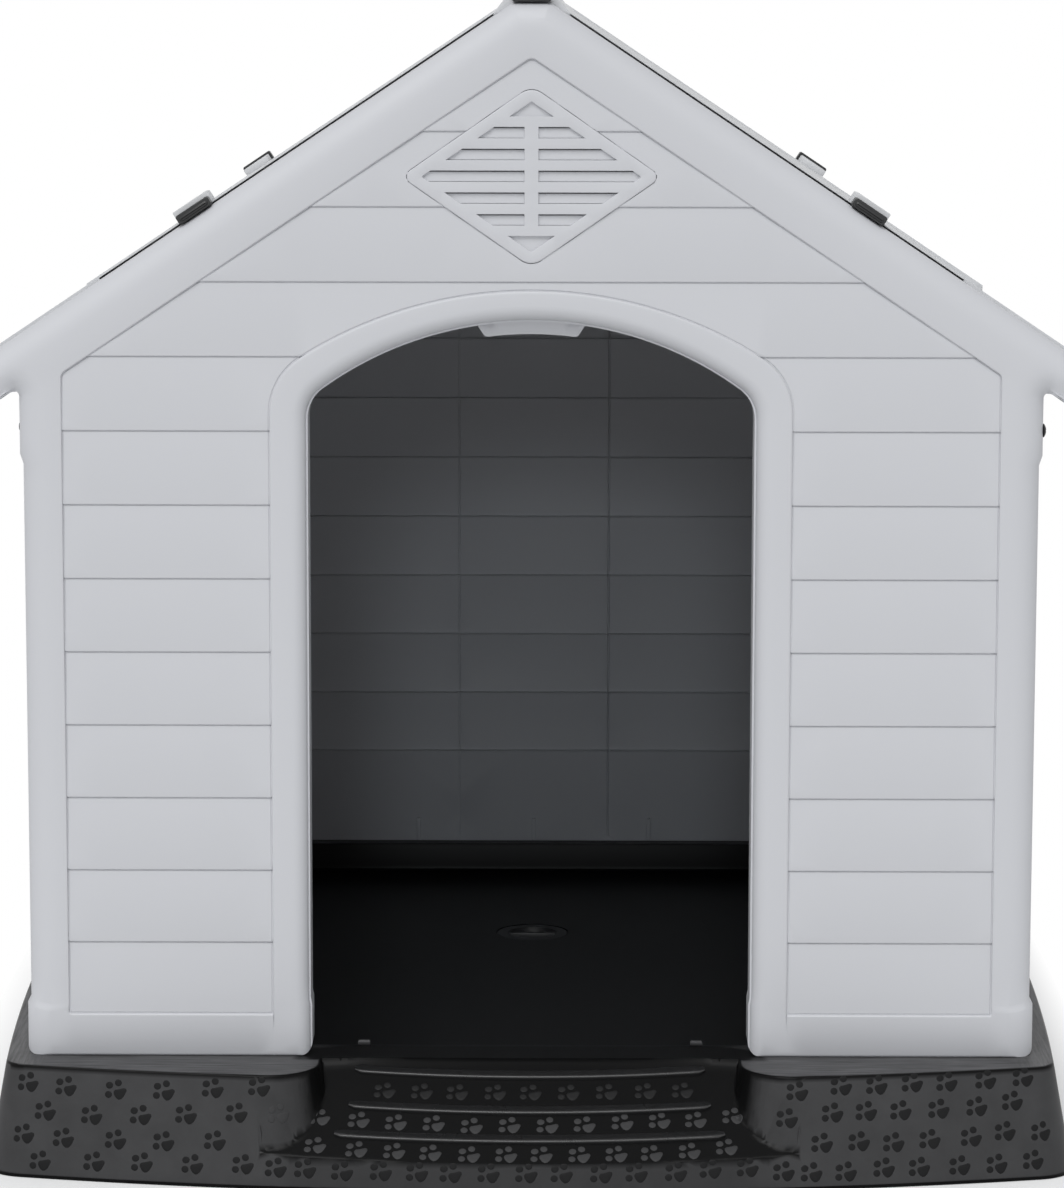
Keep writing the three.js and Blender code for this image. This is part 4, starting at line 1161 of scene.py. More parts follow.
SHEER = 0.12                # width that a sheer face of the base takes up, seen from above
FOOT_LIP, FOOT_LIP_HIGH = 0.7, 1.6
CURB_END = 300.0                      # behind this the curb is only a low bead
LUG_X, LUG_Y, LUG_HALF = (-102, 102), (-290, -283), 3.8
UNDER_RIB_X, UNDER_RIB_HALF = 105, 3
UNDER_RIB_LINES = (101.88, 102, 108, 108.12)      # both faces of a rib, and a step off each
CURB_STEPS = ([-0.1, 0.05, 0.5, 1.4, 3.6, 4.5, 4.9, 5.05, 5.6, 12.5, 13.0],
              [RIM, 84.6, 85.7, CURB_TOP, CURB_TOP, 85.7, 84.6, 80.4, 79.6, 73.0, NOSING_TOP])
WELL_STEPS = ([SHEER, 0.7, 2.2, 4.5], [51.0, 48.5, 47.2, FLOOR])
WELL_EDGE = ([-1.4, -0.4, 0.0], [0.0, 0.25, 1.2])


def base_top(uv, foot, rim, blocks):
    x, y = uv[:, 0], uv[:, 1]
    far = signed(uv, foot) - FOOT_LIP
    _, flare = flare_at(uv, rim)
    out_block, block_flare = flare_at(uv, blocks)
    wall = wall_height(flare - far, flare)
    notched = wall_height(out_block, block_flare)
    ramp = ramp_height(x, y)
    front_wall = RIM * (1 - (flare - far) / flare)
    slope = smooth_min(smooth_min(ramp, front_wall, 2.0), RIM, 1.2)
    blend = 7.0 * np.clip((STEP["block"] + 4 - np.abs(x)) / 22, 0, 1)
    in_step = (np.abs(x) < STEP["block"] + 4) & (y < STEP["sill"] + 3)
    height = np.where(in_step, smooth_max(np.minimum(notched, wall), slope, blend), wall)
    height = np.minimum(height, RIM)
    height = np.where(far < 0.05, np.interp(far, [-FOOT_LIP, -SHEER, 0.05],
                                            [FOOT_LIP_HIGH - 0.25, FOOT_LIP_HIGH, 0.35]), height)

    curb = np.interp(in_rect(x, y, CURB_RECT), *CURB_STEPS)
    open_door = np.clip((np.abs(x) - DOOR_GAP) / SHEER, 0, 1)
    curb = np.where(y < -250, RIM + (curb - RIM) * open_door, curb)
    rear = np.clip((y - CURB_END) / SHEER, 0, 1)
    curb = curb + (np.minimum(curb, RIM + 1.5) - curb) * rear
    height = np.maximum(height, np.where(in_rect(x, y, CURB_RECT) > -0.1, curb, 0))
    into = in_rect(x, y, WELL_RECT)
    height = height - np.where(into > -1.5, np.interp(into, *WELL_EDGE), 0)
    floor = np.interp(into, *WELL_STEPS)
    floor = np.where(into < SHEER, height + (51 - height) * np.clip(into / SHEER, 0, 1), floor)
    height = np.where(into > 0, floor, height)
    for lug in LUG_X:
        near = np.minimum(LUG_HALF - np.abs(x - lug), np.minimum(y - LUG_Y[0], LUG_Y[1] - y))
        height = np.where(near > 0, np.maximum(height, RIM + np.interp(near, [0, SHEER, 0.7],
                                                                       [-5, 2.4, 3.0])), height)
    drain = np.hypot(x, y - DRAIN_Y)
    return np.where(drain < DRAIN_SEAT + 0.1,
                    FLOOR - DRAIN_DEPTH * np.clip((DRAIN_SEAT + 0.1 - drain) / 0.2, 0, 1), height)


def base_under(uv, foot, rim, blocks):
    x, y = uv[:, 0], uv[:, 1]
    far = signed(uv, foot) - FOOT_LIP
    _, flare = flare_at(uv, rim)
    out_block, _ = flare_at(uv, blocks)
    top = RIM - SKIN
    height = np.clip(top * (far - SKIN) / flare, 0, top)
    ramp = ramp_height(x, y) - 5.03
    block = RIM * (1 - (out_block + SKIN) / STEP["flare"])
    in_step = (np.abs(x) < STEP["block"] + 4) & (y < STEP["sill"] + 8)
    height = np.where(in_step, np.minimum(height, np.maximum(np.minimum(ramp, top), block)), height)
    shell = in_rect(x, y, (WELL_RECT[0] + SKIN, WELL_RECT[1] - SKIN, WELL_RECT[2] + SKIN))
    low = FLOOR - SKIN
    height = np.where(shell > 0, np.minimum(height, np.interp(shell, [0, SHEER], [top, low])), height)
    rib = np.minimum(np.abs(y), np.abs(np.abs(x) - UNDER_RIB_X))
    height = height * np.where(far > SKIN, np.clip((rib - UNDER_RIB_HALF) / SHEER, 0, 1), 1)
    return np.maximum(height, 0)


class DOGHOUSE_OT_base_tray(bpy.types.Operator):
    """Build the base tray: ledge, ramped step, curb, well and underside ribs"""
    bl_idname = "doghouse.base_tray"
    bl_label = "Base tray"

    def execute(self, context):
        foot = base_plan(BASE["flare_front"] + FOOT_LIP, BASE["flare_side"] + FOOT_LIP)
        rim, blocks = base_plan(0, 0), block_plan()
        hole = np.array(arc(0, DRAIN_Y, DRAIN_HOLE, 0, 360, 48)[:-1])
        seat = [(np.array(arc(0, DRAIN_Y, r, 0, 360, 56)[:-1]), True)
                for r in (DRAIN_SEAT - 0.1, DRAIN_SEAT + 0.1)]
        flare, normal = flare_at(foot, rim)[1], inward(foot)
        lines = [(foot + normal * d, True) for d in (FOOT_LIP - SHEER, FOOT_LIP + 0.05, FOOT_LIP + 0.4)]
        for out in (1.3, 0.75, 0.25, 0.05, -0.25, -0.7, -1.2, -1.7):
            lines.append((foot + normal * (FOOT_LIP + flare - out)[:, None], True))
        step_box = np.array([(-162, -400), (162, -400), (162, -318), (-162, -318)])
        step_lines = []
        x, y, radius = STEP["block"], STEP["block_y"] + 2.1, STEP["radius"]
        for out in (-1.7, -1.2, -0.7, -0.25, 0.05, 0.25, 0.75, 1.3, 1.8, 2.6, 3.8, 5.2, 6.6, 8, 9.4, 11, 13,
                    16):
            side = [(x - radius - out, STEP["sill"])] + arc(x, y, radius + out, 180, 290, 22)
            step_lines += [(np.array(side), False), (np.array(mirrored(side)), False)]
        sill = STEP["sill"]
        step_lines += [level(-160, 160, 65, at)
                       for at in (*np.arange(sill - 62, sill + 1.5, 3.5), sill - 0.8, sill + 0.8)]
        front_rings = [(foot + normal * d, True) for d in (2, 3, 3.9, 4.8, 5.8, 7, 8.5)]
        step_lines += clipped(front_rings, step_box, [], 0.0)
        lines += clipped(clipped(step_lines, step_box, [], 0.0), foot, [], 0.9)
        rects = [(CURB_RECT, d) for d in CURB_STEPS[0][:-1]]
        rects += [(WELL_RECT, d) for d in (-1.4, -0.4, 0.0, SHEER, 0.7, 2.2, 4.5)]
        lines += [(rect_line(rect, d), True) for rect, d in rects]
        for side in (-1, 1):
            lines += [(np.array([(side * (DOOR_GAP + d), y) for y in (-307.5, -297, -283)]), False)
                      for d in (0, SHEER)]
            lines += [(np.array([(side * x, CURB_END + d) for x in (276.5, 283.0, 289.9)]), False)
                      for d in (0, SHEER)]
        for lug in LUG_X:
            for d in (0, SHEER, 0.7):
                x0, x1, y0, y1 = lug - LUG_HALF + d, lug + LUG_HALF - d, LUG_Y[0] + d, LUG_Y[1] - d
                lines.append((densified([(x0, y0), (x1, y0), (x1, y1), (x0, y1)], 20), True))
        under = [(foot + normal * (FOOT_LIP + SKIN), True),
                 (foot + normal * (FOOT_LIP + SKIN + flare)[:, None], True)]
        shell = (WELL_RECT[0] + SKIN, WELL_RECT[1] - SKIN, WELL_RECT[2] + SKIN)
        under += [(rect_line(shell, d), True) for d in (0.0, SHEER)]
        ribs = [upright(side * at, -400, 400, 60) for side in (-1, 1) for at in UNDER_RIB_LINES]
        ribs += [level(-350, 350, 60, at) for at in (-3.12, -3, 3, 3.12)]
        under += clipped(ribs, foot, [], FOOT_LIP + SKIN + 0.02)
        under += clipped(clipped(step_lines, step_box, [], 0.0), foot, [], 5)
        verts, faces = two_faced(
            foot, [hole], lines + seat, under, lambda uv: base_top(uv, foot, rim, blocks),
            lambda uv: base_under(uv, foot, rim, blocks),
            lambda uv, height: np.column_stack([uv, height]))
        tray = new_object("base_moulding", verts, faces)
        self.paint(tray, foot, rim, blocks)
        dress(tray, "base_polypropylene", replaces=["base_tray"])
        return {"FINISHED"}

    @staticmethod
    def paint(tray, foot, rim, blocks):
        """Marks where the moulding is polished and darkened as painted shade (ramp, block sides, lower
        front, sill, well and edges), and where its top is scuffed and lightened as painted light (ledge and
        curb)."""
        points = np.empty(len(tray.data.vertices) * 3, np.float32)
        tray.data.vertices.foreach_get("co", points)
        points = points.reshape(-1, 3).astype(float) / MM
        x, y, z = points.T
        plan = points[:, :2]
        out_block, _ = flare_at(plan, blocks)
        stretch = nearest(plan, blocks)[1]
        along = np.roll(blocks, -1, 0)[stretch] - blocks[stretch]
        facing = along[:, 0] ** 2 / np.maximum((along ** 2).sum(1), 1e-9)     # 1 on front faces
        far = signed(plan, foot) - FOOT_LIP
        front_wall = RIM * far / flare_at(plan, rim)[1]
        ramp = ramp_height(x, y)
        step = (np.abs(x) < STEP["block"] + 4) & (y < STEP["sill"] + 8) & (out_block > 0.1)
        on_ramp = step & (front_wall > ramp - 0.6) & (z < ramp + 1.5)
        on_side = step & (front_wall > ramp) & ~on_ramp
        # A band of painted shade along the lower front of the step, fading out towards the sides.
        lip = 0.25 * np.clip((165 - np.abs(x)) / 40, 0, 1) * ((far < 12) & (y < 0))
        sill = (np.abs(x) < DOOR_GAP) & (y >= STEP["sill"] - 3) & (y < -270) & (z < RIM + 0.5) & ~on_side
        well = in_rect(x, y, WELL_RECT) > -0.5
        # Thin lines of painted shade along the ledge's edge and round the foot.
        rounding = ((out_block > -0.8) & (out_block < 0.3) & (z > 50)) | (far < 0.06)
        # The block sides get painted shade as they turn away from the front. The ramp, sill and well are
        # painted almost black as shade.
        polish = np.maximum(np.where(on_side, np.clip((0.75 - facing) / 0.45, 0, 1), 0), lip)
        polish = np.where(on_ramp | sill | well | rounding, 1.0, polish)
        # The ledge and curb tops get pale scuffs and painted light.
        ledge = (z > RIM - 0.05) & (out_block < -1.0) & ~sill & ~well & (in_rect(x, y, CURB_RECT) < 0.02)
        curb = (in_rect(x, y, CURB_RECT) > 5.4) & ~well & ~sill
        values = {"polish": polish, "scuff": ledge | curb, "sideways": np.abs(x) > 300}
        for key, value in values.items():
            store(tray.data, key, value)


# ---------------------------------------------------------------- side walls

class DOGHOUSE_OT_side_walls(bpy.types.Operator):
    """Build the clapboard side walls"""
    bl_idname = "doghouse.side_walls"
    bl_label = "Side walls"

    def execute(self, context):
        sizes = context.scene.doghouse_walls
        height, groove = sizes.board_height / MM, sizes.groove / MM
        outer, thick, margin, boards = HALF_WIDTH - 2.5, 9.0, 22.0, 9
        low, top = RIM + GAP, slope_at(outer, -5.5) - GAP
        front_end, back_end = FRONT + 7, BACK - 7
        tongue = (RIM + 5, 465.0)
        outline = np.array([tuple(p) for p in densified([
            (SIDE_FRONT, low), (SIDE_BACK, low), (SIDE_BACK, tongue[0]), (back_end, tongue[0]),
            (back_end, tongue[1]), (SIDE_BACK, tongue[1]), (SIDE_BACK, top), (SIDE_FRONT, top),
            (SIDE_FRONT, tongue[1]), (front_end, tongue[1]), (front_end, tongue[0]),
            (SIDE_FRONT, tongue[0])], 25)])
        field = densified(rounded([(SIDE_FRONT + margin, BOARD_LOW, 1.5),
                                   (SIDE_BACK - margin, BOARD_LOW, 1.5),
                                   (SIDE_BACK - margin, BOARD_LOW + height * boards - 0.5, 4),
                                   (SIDE_FRONT + margin, BOARD_LOW + height * boards - 0.5, 4)], 15), 14)

        def front(uv):
            into = signed(uv, field)
            depth = framed(into, board_face(uv[:, 1], BOARD_LOW, height, groove), groove)
            ends = np.minimum(uv[:, 0] - SIDE_FRONT, SIDE_BACK - uv[:, 0])
            tucked = np.interp(ends, [-0.1, 0.0], [1.8, 0.0])
            edge = quarter(np.maximum(np.minimum(ends, np.minimum(uv[:, 1] - low, top - uv[:, 1])), 0), 1.5)
            return np.where(ends < 0, tucked, np.maximum(depth, edge))

        def back(uv):
            into = signed(uv, field)
            ends = np.minimum(uv[:, 0] - SIDE_FRONT, SIDE_BACK - uv[:, 0])
            depth = np.where(into > 0, np.interp(into, [0, WALL_SHEER], [thick, 0]), thick)
            panel = SKIN + board_face(uv[:, 1], BOARD_LOW, height, 0.0)
            depth = np.where(into > 0, np.maximum(depth, panel), depth)
            return np.where(ends < 0, 5.8, depth)

        boards_at = [level(SIDE_FRONT + margin, SIDE_BACK - margin, 30, BOARD_LOW + height * i + dz)
                     for i in range(1, boards) for dz in FOOT_Z]
        ends = [upright(at, *tongue, 20)
                for at in (SIDE_FRONT, SIDE_FRONT - 0.1, SIDE_BACK, SIDE_BACK + 0.1)]
        lines = clipped(boards_at, field, [], 0.02) + rings(field, FRAME_RINGS)
        face = densified([(SIDE_FRONT, low), (SIDE_BACK, low), (SIDE_BACK, top), (SIDE_FRONT, top)], 25)
        lines += rings(face, [0.15, 0.5, 1.0, 1.5]) + clipped(ends, outline, [], 0.05)
        inner = clipped(boards_at, field, [], 0.2) + rings(field, [0.0, WALL_SHEER])
        inner += clipped(ends, outline, [], 0.05)
        for side, name in ((1, "right_wall"), (-1, "left_wall")):
            verts, faces = two_faced(
                outline, [], lines, inner, front, back,
                lambda uv, depth: np.stack([side * (outer - depth), uv[:, 0], uv[:, 1]], 1))
            dress(new_object(name.replace("wall", "side"), verts, faces), "wall_polypropylene",
                  replaces=[name])
        return {"FINISHED"}


# ---------------------------------------------------------------- roof

ROOF = {"channel": -1.5, "skin": -5.5, "plate_low": 1.15, "plate_high": 1.8, "overlap": 14.0}
FIELD_START, FIELD_END = (RIDGE_HALF + 0.2) / COS, 257.7 / COS
BORDER, BED_INSET = 16.0, 34.0        # plain strips round the shingles, along and across the slope
TILE_BED = 0.2
KEY_ALONG = {"front": 198.5 / COS + 0.4, "back": 198.5 / COS + 3.8}
BOSS_DEPTH = 28.0
TONGUE_HALF, TONGUE_HIGH, TONGUE_LONG = 8.2, 2.7, 22.0
TONGUE_LOW = 2.6
RIDGE_TONGUE_HALF, RIDGE_TONGUE_LOW = 7.0, 703.5


def roof_place(side):
    """Turns (along the slope, along Y) and a height out from the slope into space; near the
    ridge the panel bends level."""
    ridge_along = RIDGE_HALF / COS

    def place(uv, out):
        along, drop = uv[:, 0], np.minimum(out - ROOF["skin"], 0)      # the eave's lip hangs plumb
        out = np.maximum(out, ROOF["skin"])
        x = along * COS + out * SIN * np.clip(along / ridge_along, 0, 1)
        z = np.minimum(APEX - along * SIN + out * COS, RIDGE + out / COS) + drop / COS
        return np.stack([side * x, uv[:, 1], z], 1)
    return place


def wedge(name, corners, radius):
    """A block from the corners round one end and round the other, edges rounded."""
    bm = bmesh.new()
    verts = [bm.verts.new(Vector(c) * MM) for c in corners]
    n = len(corners) // 2
    bm.faces.new(verts[:n])
    bm.faces.new(verts[n:][::-1])
    for i in range(n):
        bm.faces.new([verts[k] for k in (i, i + n, (i + 1) % n + n, (i + 1) % n)])
    bmesh.ops.recalc_face_normals(bm, faces=bm.faces)
    if radius:
        bmesh.ops.bevel(bm, geom=bm.edges[:], offset=radius * MM, segments=2, profile=0.5, affect="EDGES")
    return from_bmesh(name, bm)


def slope_block(name, side, middle, span0, span1, low, high0, high1, y0, y1, radius):
    """A block on the slope from y0 to y1; span0 and high0 are its half width and top at y0."""
    corners = []
    for y, half, high in ((y0, span0, high0), (y1, span1, high1)):
        for along, out in ((middle - half, low), (middle + half, low), (middle + half, high),
                           (middle - half, high)):
            x, z = on_slope(along, out)
            corners.append((side * x, y, z))
    return wedge(name, corners, radius)


def roof_panel(name, side, replaces):
    eave = EAVE / COS
    start = GAP / 2 / COS
    ends = (SIDE_FRONT - ROOF["overlap"], SIDE_BACK + ROOF["overlap"])
    outline = densified([(start, ends[0]), (FIELD_END, ends[0]), (FIELD_END, SIDE_FRONT),
                         (eave, SIDE_FRONT),
                         (eave, SIDE_BACK), (FIELD_END, SIDE_BACK), (FIELD_END, ends[1]), (start, ends[1])],
                        22)
    bed_box = (FIELD_START + BORDER, FIELD_END - BORDER, ends[0] + BED_INSET, ends[1] - BED_INSET)

    def within(uv, box):
        return np.minimum(np.minimum(uv[:, 0] - box[0], box[1] - uv[:, 0]),
                          np.minimum(uv[:, 1] - box[2], box[3] - uv[:, 1]))

    plate_box = (FIELD_START, FIELD_END, ends[0], ends[1])

    def top(uv):
        along = uv[:, 0]
        out = ROOF["channel"]
        out = np.interp(along, [eave - 4, eave - 2.6, eave - 1, eave], [out, out - 0.3, out - 1.6, out - 4])
        plate = within(uv, plate_box)
        high = ROOF["plate_high"] - np.interp(plate, [0, 0.25, 0.8], [0.7, 0.2, 0.0])
        out = np.where(plate > -0.1, out + (high - out) * np.clip((plate + 0.1) / 0.1, 0, 1), out)
        over_trim = (uv[:, 1] < SIDE_FRONT) | (uv[:, 1] > SIDE_BACK)
        out = np.where(over_trim, np.maximum(out, ROOF["plate_low"] + 0.5), out)
        bed = within(uv, bed_box)
        return np.where(bed > 0, np.interp(bed, [0, WALL_SHEER], [ROOF["plate_high"], TILE_BED]), out)

    def bottom(uv):
        deep = np.interp(uv[:, 0], [eave - SKIN - 0.1, eave - SKIN], [ROOF["skin"], -EAVE_DEPTH])
        over = np.minimum(uv[:, 1] - SIDE_FRONT, SIDE_BACK - uv[:, 1])
        return deep + (ROOF["plate_low"] - deep) * np.interp(over, [-0.05, 0.05], [1.0, 0.0])

    def box_line(box, inset):
        return densified([(box[0] + inset, box[2] + inset), (box[1] - inset, box[2] + inset),
                          (box[1] - inset, box[3] - inset), (box[0] + inset, box[3] - inset)], 22)

    def runs_y(*places):
        return [upright(at, *ends, 30) for at in places]

    def runs_a(*places):
        return [level(start, eave, 22, at) for at in places]

    lines = [(box_line(bed_box, d), True) for d in (0.0, WALL_SHEER)]
    lines += [(box_line(plate_box, d), True) for d in (0.25, 0.8)]
    lines += runs_y(FIELD_START - 0.1, FIELD_START, RIDGE_HALF / COS, eave - 4, eave - 2.6, eave - 1,
                    FIELD_END, FIELD_END + 0.1)
    lines += runs_a(SIDE_FRONT - 0.05, SIDE_FRONT + 0.05, SIDE_BACK - 0.05, SIDE_BACK + 0.05)
    lines = clipped(lines, outline, [], 0.03)
    under = runs_y(RIDGE_HALF / COS, eave - SKIN - 0.1, eave - SKIN)
    under += runs_a(SIDE_FRONT + 0.05, SIDE_BACK - 0.05, SIDE_FRONT - 0.05, SIDE_BACK + 0.05)
    verts, faces = two_faced(outline, [], lines, clipped(under, outline, [], 0.03), top, bottom,
                             roof_place(side))
    panel = new_object(name, verts, faces)

    inner = GAP / 2
    for end, way, middle, spans, highs in (
            (ends[0], 1, KEY_ALONG["front"], (12.4, 11.4), (8.9, 8.3)),
            (ends[1], -1, KEY_ALONG["back"], (10.2, 9.8), (6.7, 6.5))):
        far_end = end + way * BOSS_DEPTH
        boss = slope_block("boss", side, middle, *spans, ROOF["plate_low"] + 0.4, *highs, end, far_end, 0.7)
        panel = combined(panel, boss, "UNION")
        # The ridge boss is a low gabled block, half on each panel.
        corners = []
        for y in (end, far_end):
            corners += [(side * x, y, z) for x, z in (
                (inner, RIDGE + 2.0), (8.5, RIDGE + 2.0), (23.0, slope_at(23.0, 0.2)),
                (22.5, slope_at(22.5, 1.5)),
                (13.2, RIDGE + 7.6), (inner, RIDGE + 9.2))]
        panel = combined(panel, wedge("ridge_boss", corners, 0.4), "UNION")
        y0, y1 = sorted((end - way * 1.0, end + way * (TONGUE_LONG + 1)))
        socket = slope_block("socket", side, middle, TONGUE_HALF + GAP, TONGUE_HALF + GAP, TONGUE_LOW - GAP,
                             TONGUE_LOW + TONGUE_HIGH + GAP, TONGUE_LOW + TONGUE_HIGH + GAP, y0, y1, 0)
        panel = combined(panel, socket, "DIFFERENCE")
        x0, x1 = sorted((side * (RIDGE_TONGUE_HALF + GAP), -side))
        slot = from_bmesh("slot", soft_box(((x0, y0, RIDGE_TONGUE_LOW - GAP),
                                            (x1, y1, RIDGE_TONGUE_LOW + TONGUE_HIGH + GAP)), 0))
        panel = combined(panel, slot, "DIFFERENCE")
    if side > 0:
        # A strip under the other panel's edge keeps the rain out of the ridge joint.
        under_z = slope_at(RIDGE_HALF, ROOF["skin"])
        for x0, x1, z1 in ((-RIDGE_HALF, 2, under_z - GAP), (GAP / 2, 2, under_z + 1)):
            strip = from_bmesh("strip", soft_box(((x0, SIDE_FRONT + 13, under_z - GAP - 3),
                                                  (x1, SIDE_BACK - 13, z1)), 0))
            panel = combined(panel, strip, "UNION")
    return dress(panel, "roof_polypropylene", replaces=replaces)


class DOGHOUSE_OT_roof(bpy.types.Operator):
    """Build the two roof panels and lay their shingles"""
    bl_idname = "doghouse.roof"
    bl_label = "Roof"

    def execute(self, context):
        roof_panel("right_roof_panel", 1, ["roof_right"])
        roof_panel("left_roof_panel", -1, ["roof_left"])
        sizes = context.scene.doghouse_roof
        bed = (FIELD_START + BORDER, FIELD_END - BORDER)
        pitch = (bed[1] - bed[0]) / sizes.courses
        ends = (SIDE_FRONT - ROOF["overlap"] + BED_INSET, SIDE_BACK + ROOF["overlap"] - BED_INSET)
        width = (ends[1] - ends[0]) / sizes.per_course
        thick = sizes.thickness / MM
        gap = 0.8
        for side, name in ((1, "right_shingles"), (-1, "left_shingles")):
            points, turns, spans = [], [], []
            down = Vector((side * COS, 0, -SIN))
            out = Vector((side * SIN, 0, COS))
            for row in range(sizes.courses):
                at = bed[0] + pitch * row
                edges = [ends[0] + width * (k - (0.5 if row % 2 else 0))
                         for k in range(sizes.per_course + 2)]
                for y0, y1 in zip(edges, edges[1:]):
                    y0, y1 = max(y0, ends[0]) + gap / 2, min(y1, ends[1]) - gap / 2
                    if y1 - y0 < 5:
                        continue
                    x, z = on_slope(at, TILE_BED - 0.05)
                    points.append(Vector((side * x, (y0 + y1) / 2, z)) * MM)
                    turns.append(turn_of(down, Vector((0, side, 0)), out))
                    spans.append((1, (y1 - y0) / 100, 1))
            rows = set_out(name, points, turns, spans, self.shingle(pitch - 0.4, thick),
                           "roof_polypropylene")
            dress(rows, None)
        return {"FINISHED"}

    @staticmethod
    def shingle(length, thick):
        """One shingle 100 mm wide, thin at its head and thick at its foot."""
        section = [(0, 0), (0, 0.35), (length - 0.9, thick - 0.1), (length - 0.3, thick - 0.35),
                   (length, thick - 0.9), (length, 0)]
        verts, faces = prism_verts(section, -50.0, 50.0, lambda a, o, y: (a, y, o))
        return new_object("one_shingle", verts, faces)


# ---------------------------------------------------------------- ribs and paw prints

def dotted(name, shapes, soft):
    """A flat mesh of closed outlines in the plane z = 0, each a pad that the placing tree
    raises by its rise attribute: 1 on top, 0 at its edge, below 0 inside the ground."""
    verts, faces, rise = [], [], []
    for shape in shapes:
        shape = np.array(shape)
        inner = shape + inward(shape) * soft
        first, n = len(verts), len(shape)
        middle = shape.mean(0)
        for ring, high in ((shape, -1.0), (shape, 0.1), (inner, 1.0), ((inner + middle) / 2, 1.0)):
            verts += [(x, y, 0.02 * high) for x, y in ring]
            rise += [high] * n
        for low in (first, first + n, first + 2 * n):
            faces += band(low, n)
        low = first + 3 * n
        faces += [(low + i, low + (i + 1) % n, low + n) for i in range(n)]
        verts.append((*middle, 0.02))
        rise.append(1.0)
        faces.append(tuple(range(first + n - 1, first - 1, -1)))
    mesh = bpy.data.meshes.new(name)
    mesh.from_pydata([tuple(c * MM for c in v) for v in verts], [], faces)
    store(mesh, "rise", rise)
    for polygon in mesh.polygons:
        polygon.use_smooth = True
    obj = bpy.data.objects.new(name, mesh)
    bpy.context.scene.collection.objects.link(obj)
    return obj


def ellipse(cx, cy, rx, ry, tilt, count):
    turn = math.radians(tilt)
    out = []
    for k in range(count):
        a = 2 * math.pi * k / count
        x, y = rx * math.cos(a), ry * math.sin(a)
        out.append((cx + x * math.cos(turn) - y * math.sin(turn),
                    cy + x * math.sin(turn) + y * math.cos(turn)))
    return out


PAD = [(-1.5, -0.3), (-0.6, 0.7), (1.0, 0.9), (2.6, 1.3), (4.3, 1.8), (5.7, 1.4), (6.0, 0.2), (5.2, -1.6),
       (4.2, -3.4), (2.9, -4.6), (1.4, -4.9), (0.0, -4.0), (-0.9, -2.8), (-1.5, -1.5)]


def paw_print(width):
    """A paw print of the given width, toes up and to the left."""
    shapes = [ellipse(-4.1, 3.0, 2.2, 2.0, 10, 10), ellipse(1.0, 4.6, 2.1, 2.0, -20, 10),
              ellipse(-4.5, -2.2, 2.1, 2.0, -15, 10), PAD]
    scale = width / 12.5
    return dotted("paw", [[(x * scale, y * scale) for x, y in s[::1 if area(s) > 0 else -1]]
                          for s in shapes], 0.3)


def area(loop):
    loop = np.array(loop)
    after = np.roll(loop, -1, 0)
    return float((loop[:, 0] * after[:, 1] - after[:, 0] * loop[:, 1]).sum()) / 2


# Where the prints of the front stand as the camera sees them, as (x, z) on the plane
# y = PRINT_PLANE.
PRINT_PLANE = -385.5
DARK_PRINTS = [
    (-297, 66.5), (-274.5, 64), (-245, 62), (-216.5, 61.5), (-187.5, 63), (-160, 64), (-287, 49),
    (-259.5, 46.5),
    (-230.5, 46.5), (-203.5, 47), (-173.5, 48), (-300, 35), (-276.5, 32.5), (-245.5, 31.5), (-217, 30.5),
    (-186.5, 31), (-290.5, 18.5), (-258.5, 18), (-230, 17.5), (-200, 16.5), (-170, 16.5), (-150.5, 14.5),
    (-133, 14), (-111, 12.5), (-88, 12.5), (-66.5, 12), (-46.5, 11.5), (-24, 11.5), (-1.5, 11.5),
    (19.5, 11.5),
    (43, 11.5), (64, 12), (87.5, 12.5), (108, 14.5), (130, 15.5), (159, 62), (185, 65.5), (206, 66),
    (227, 67.5),
    (247.5, 68), (270.5, 69.5), (292.5, 71), (153, 45.5), (180, 49), (200, 50), (220.5, 50.5), (243, 51.5),
    (265.5, 53), (286.5, 56.5), (174, 30.5), (196, 31.5), (216.5, 31), (238, 33), (262.5, 34.5),
    (282.5, 38),
    (304, 38), (151.5, 13), (168, 12.5), (188.5, 13), (211, 15.5), (232, 16), (256, 17), (278, 18),
    (299.5, 20.5)]
# The prints high on the ramp, by the doorway, get a darker material: painted shade.
SHADED_PRINTS = [(-85.5, 62), (-63.5, 61.5), (-42.5, 61), (-20, 61), (1, 61), (23.5, 61), (46, 61.5),
                (69, 62), (91, 62.5)]
LIGHT_PRINTS = [
    (-148.5, 47.5), (-124.5, 45.5), (-101, 44), (-79, 42.5), (-56.5, 42), (-34, 40.5), (-11.5, 41),
    (11, 41),
    (33, 41.5), (55.5, 43), (77.5, 44), (99, 44.5), (121, 47), (-127, 28.5), (-102.5, 26), (-80, 25),
    (-58.5, 24), (-35.5, 23), (-13.5, 23), (7.5, 23), (30, 23), (52, 23.5), (73, 24), (95.5, 25.5),
    (117.5, 28)]
RIB_ROWS = ((0.162, 106.0), (0.498, 109.0), (0.768, 117.0))      # share of the ramp, half length
RIB_BOW = 900.0
SIDE_ROWS = (54.0, 40.0, 25.5, 12.0)  # heights of the prints that the photograph doesn't show
SIDE_PRINTS, BACK_PRINTS, PRINT_FROM = (-306, 330), (-282, 290), 450
PAW_PITCH = 27.5
UP = Vector((0, 0, 1))


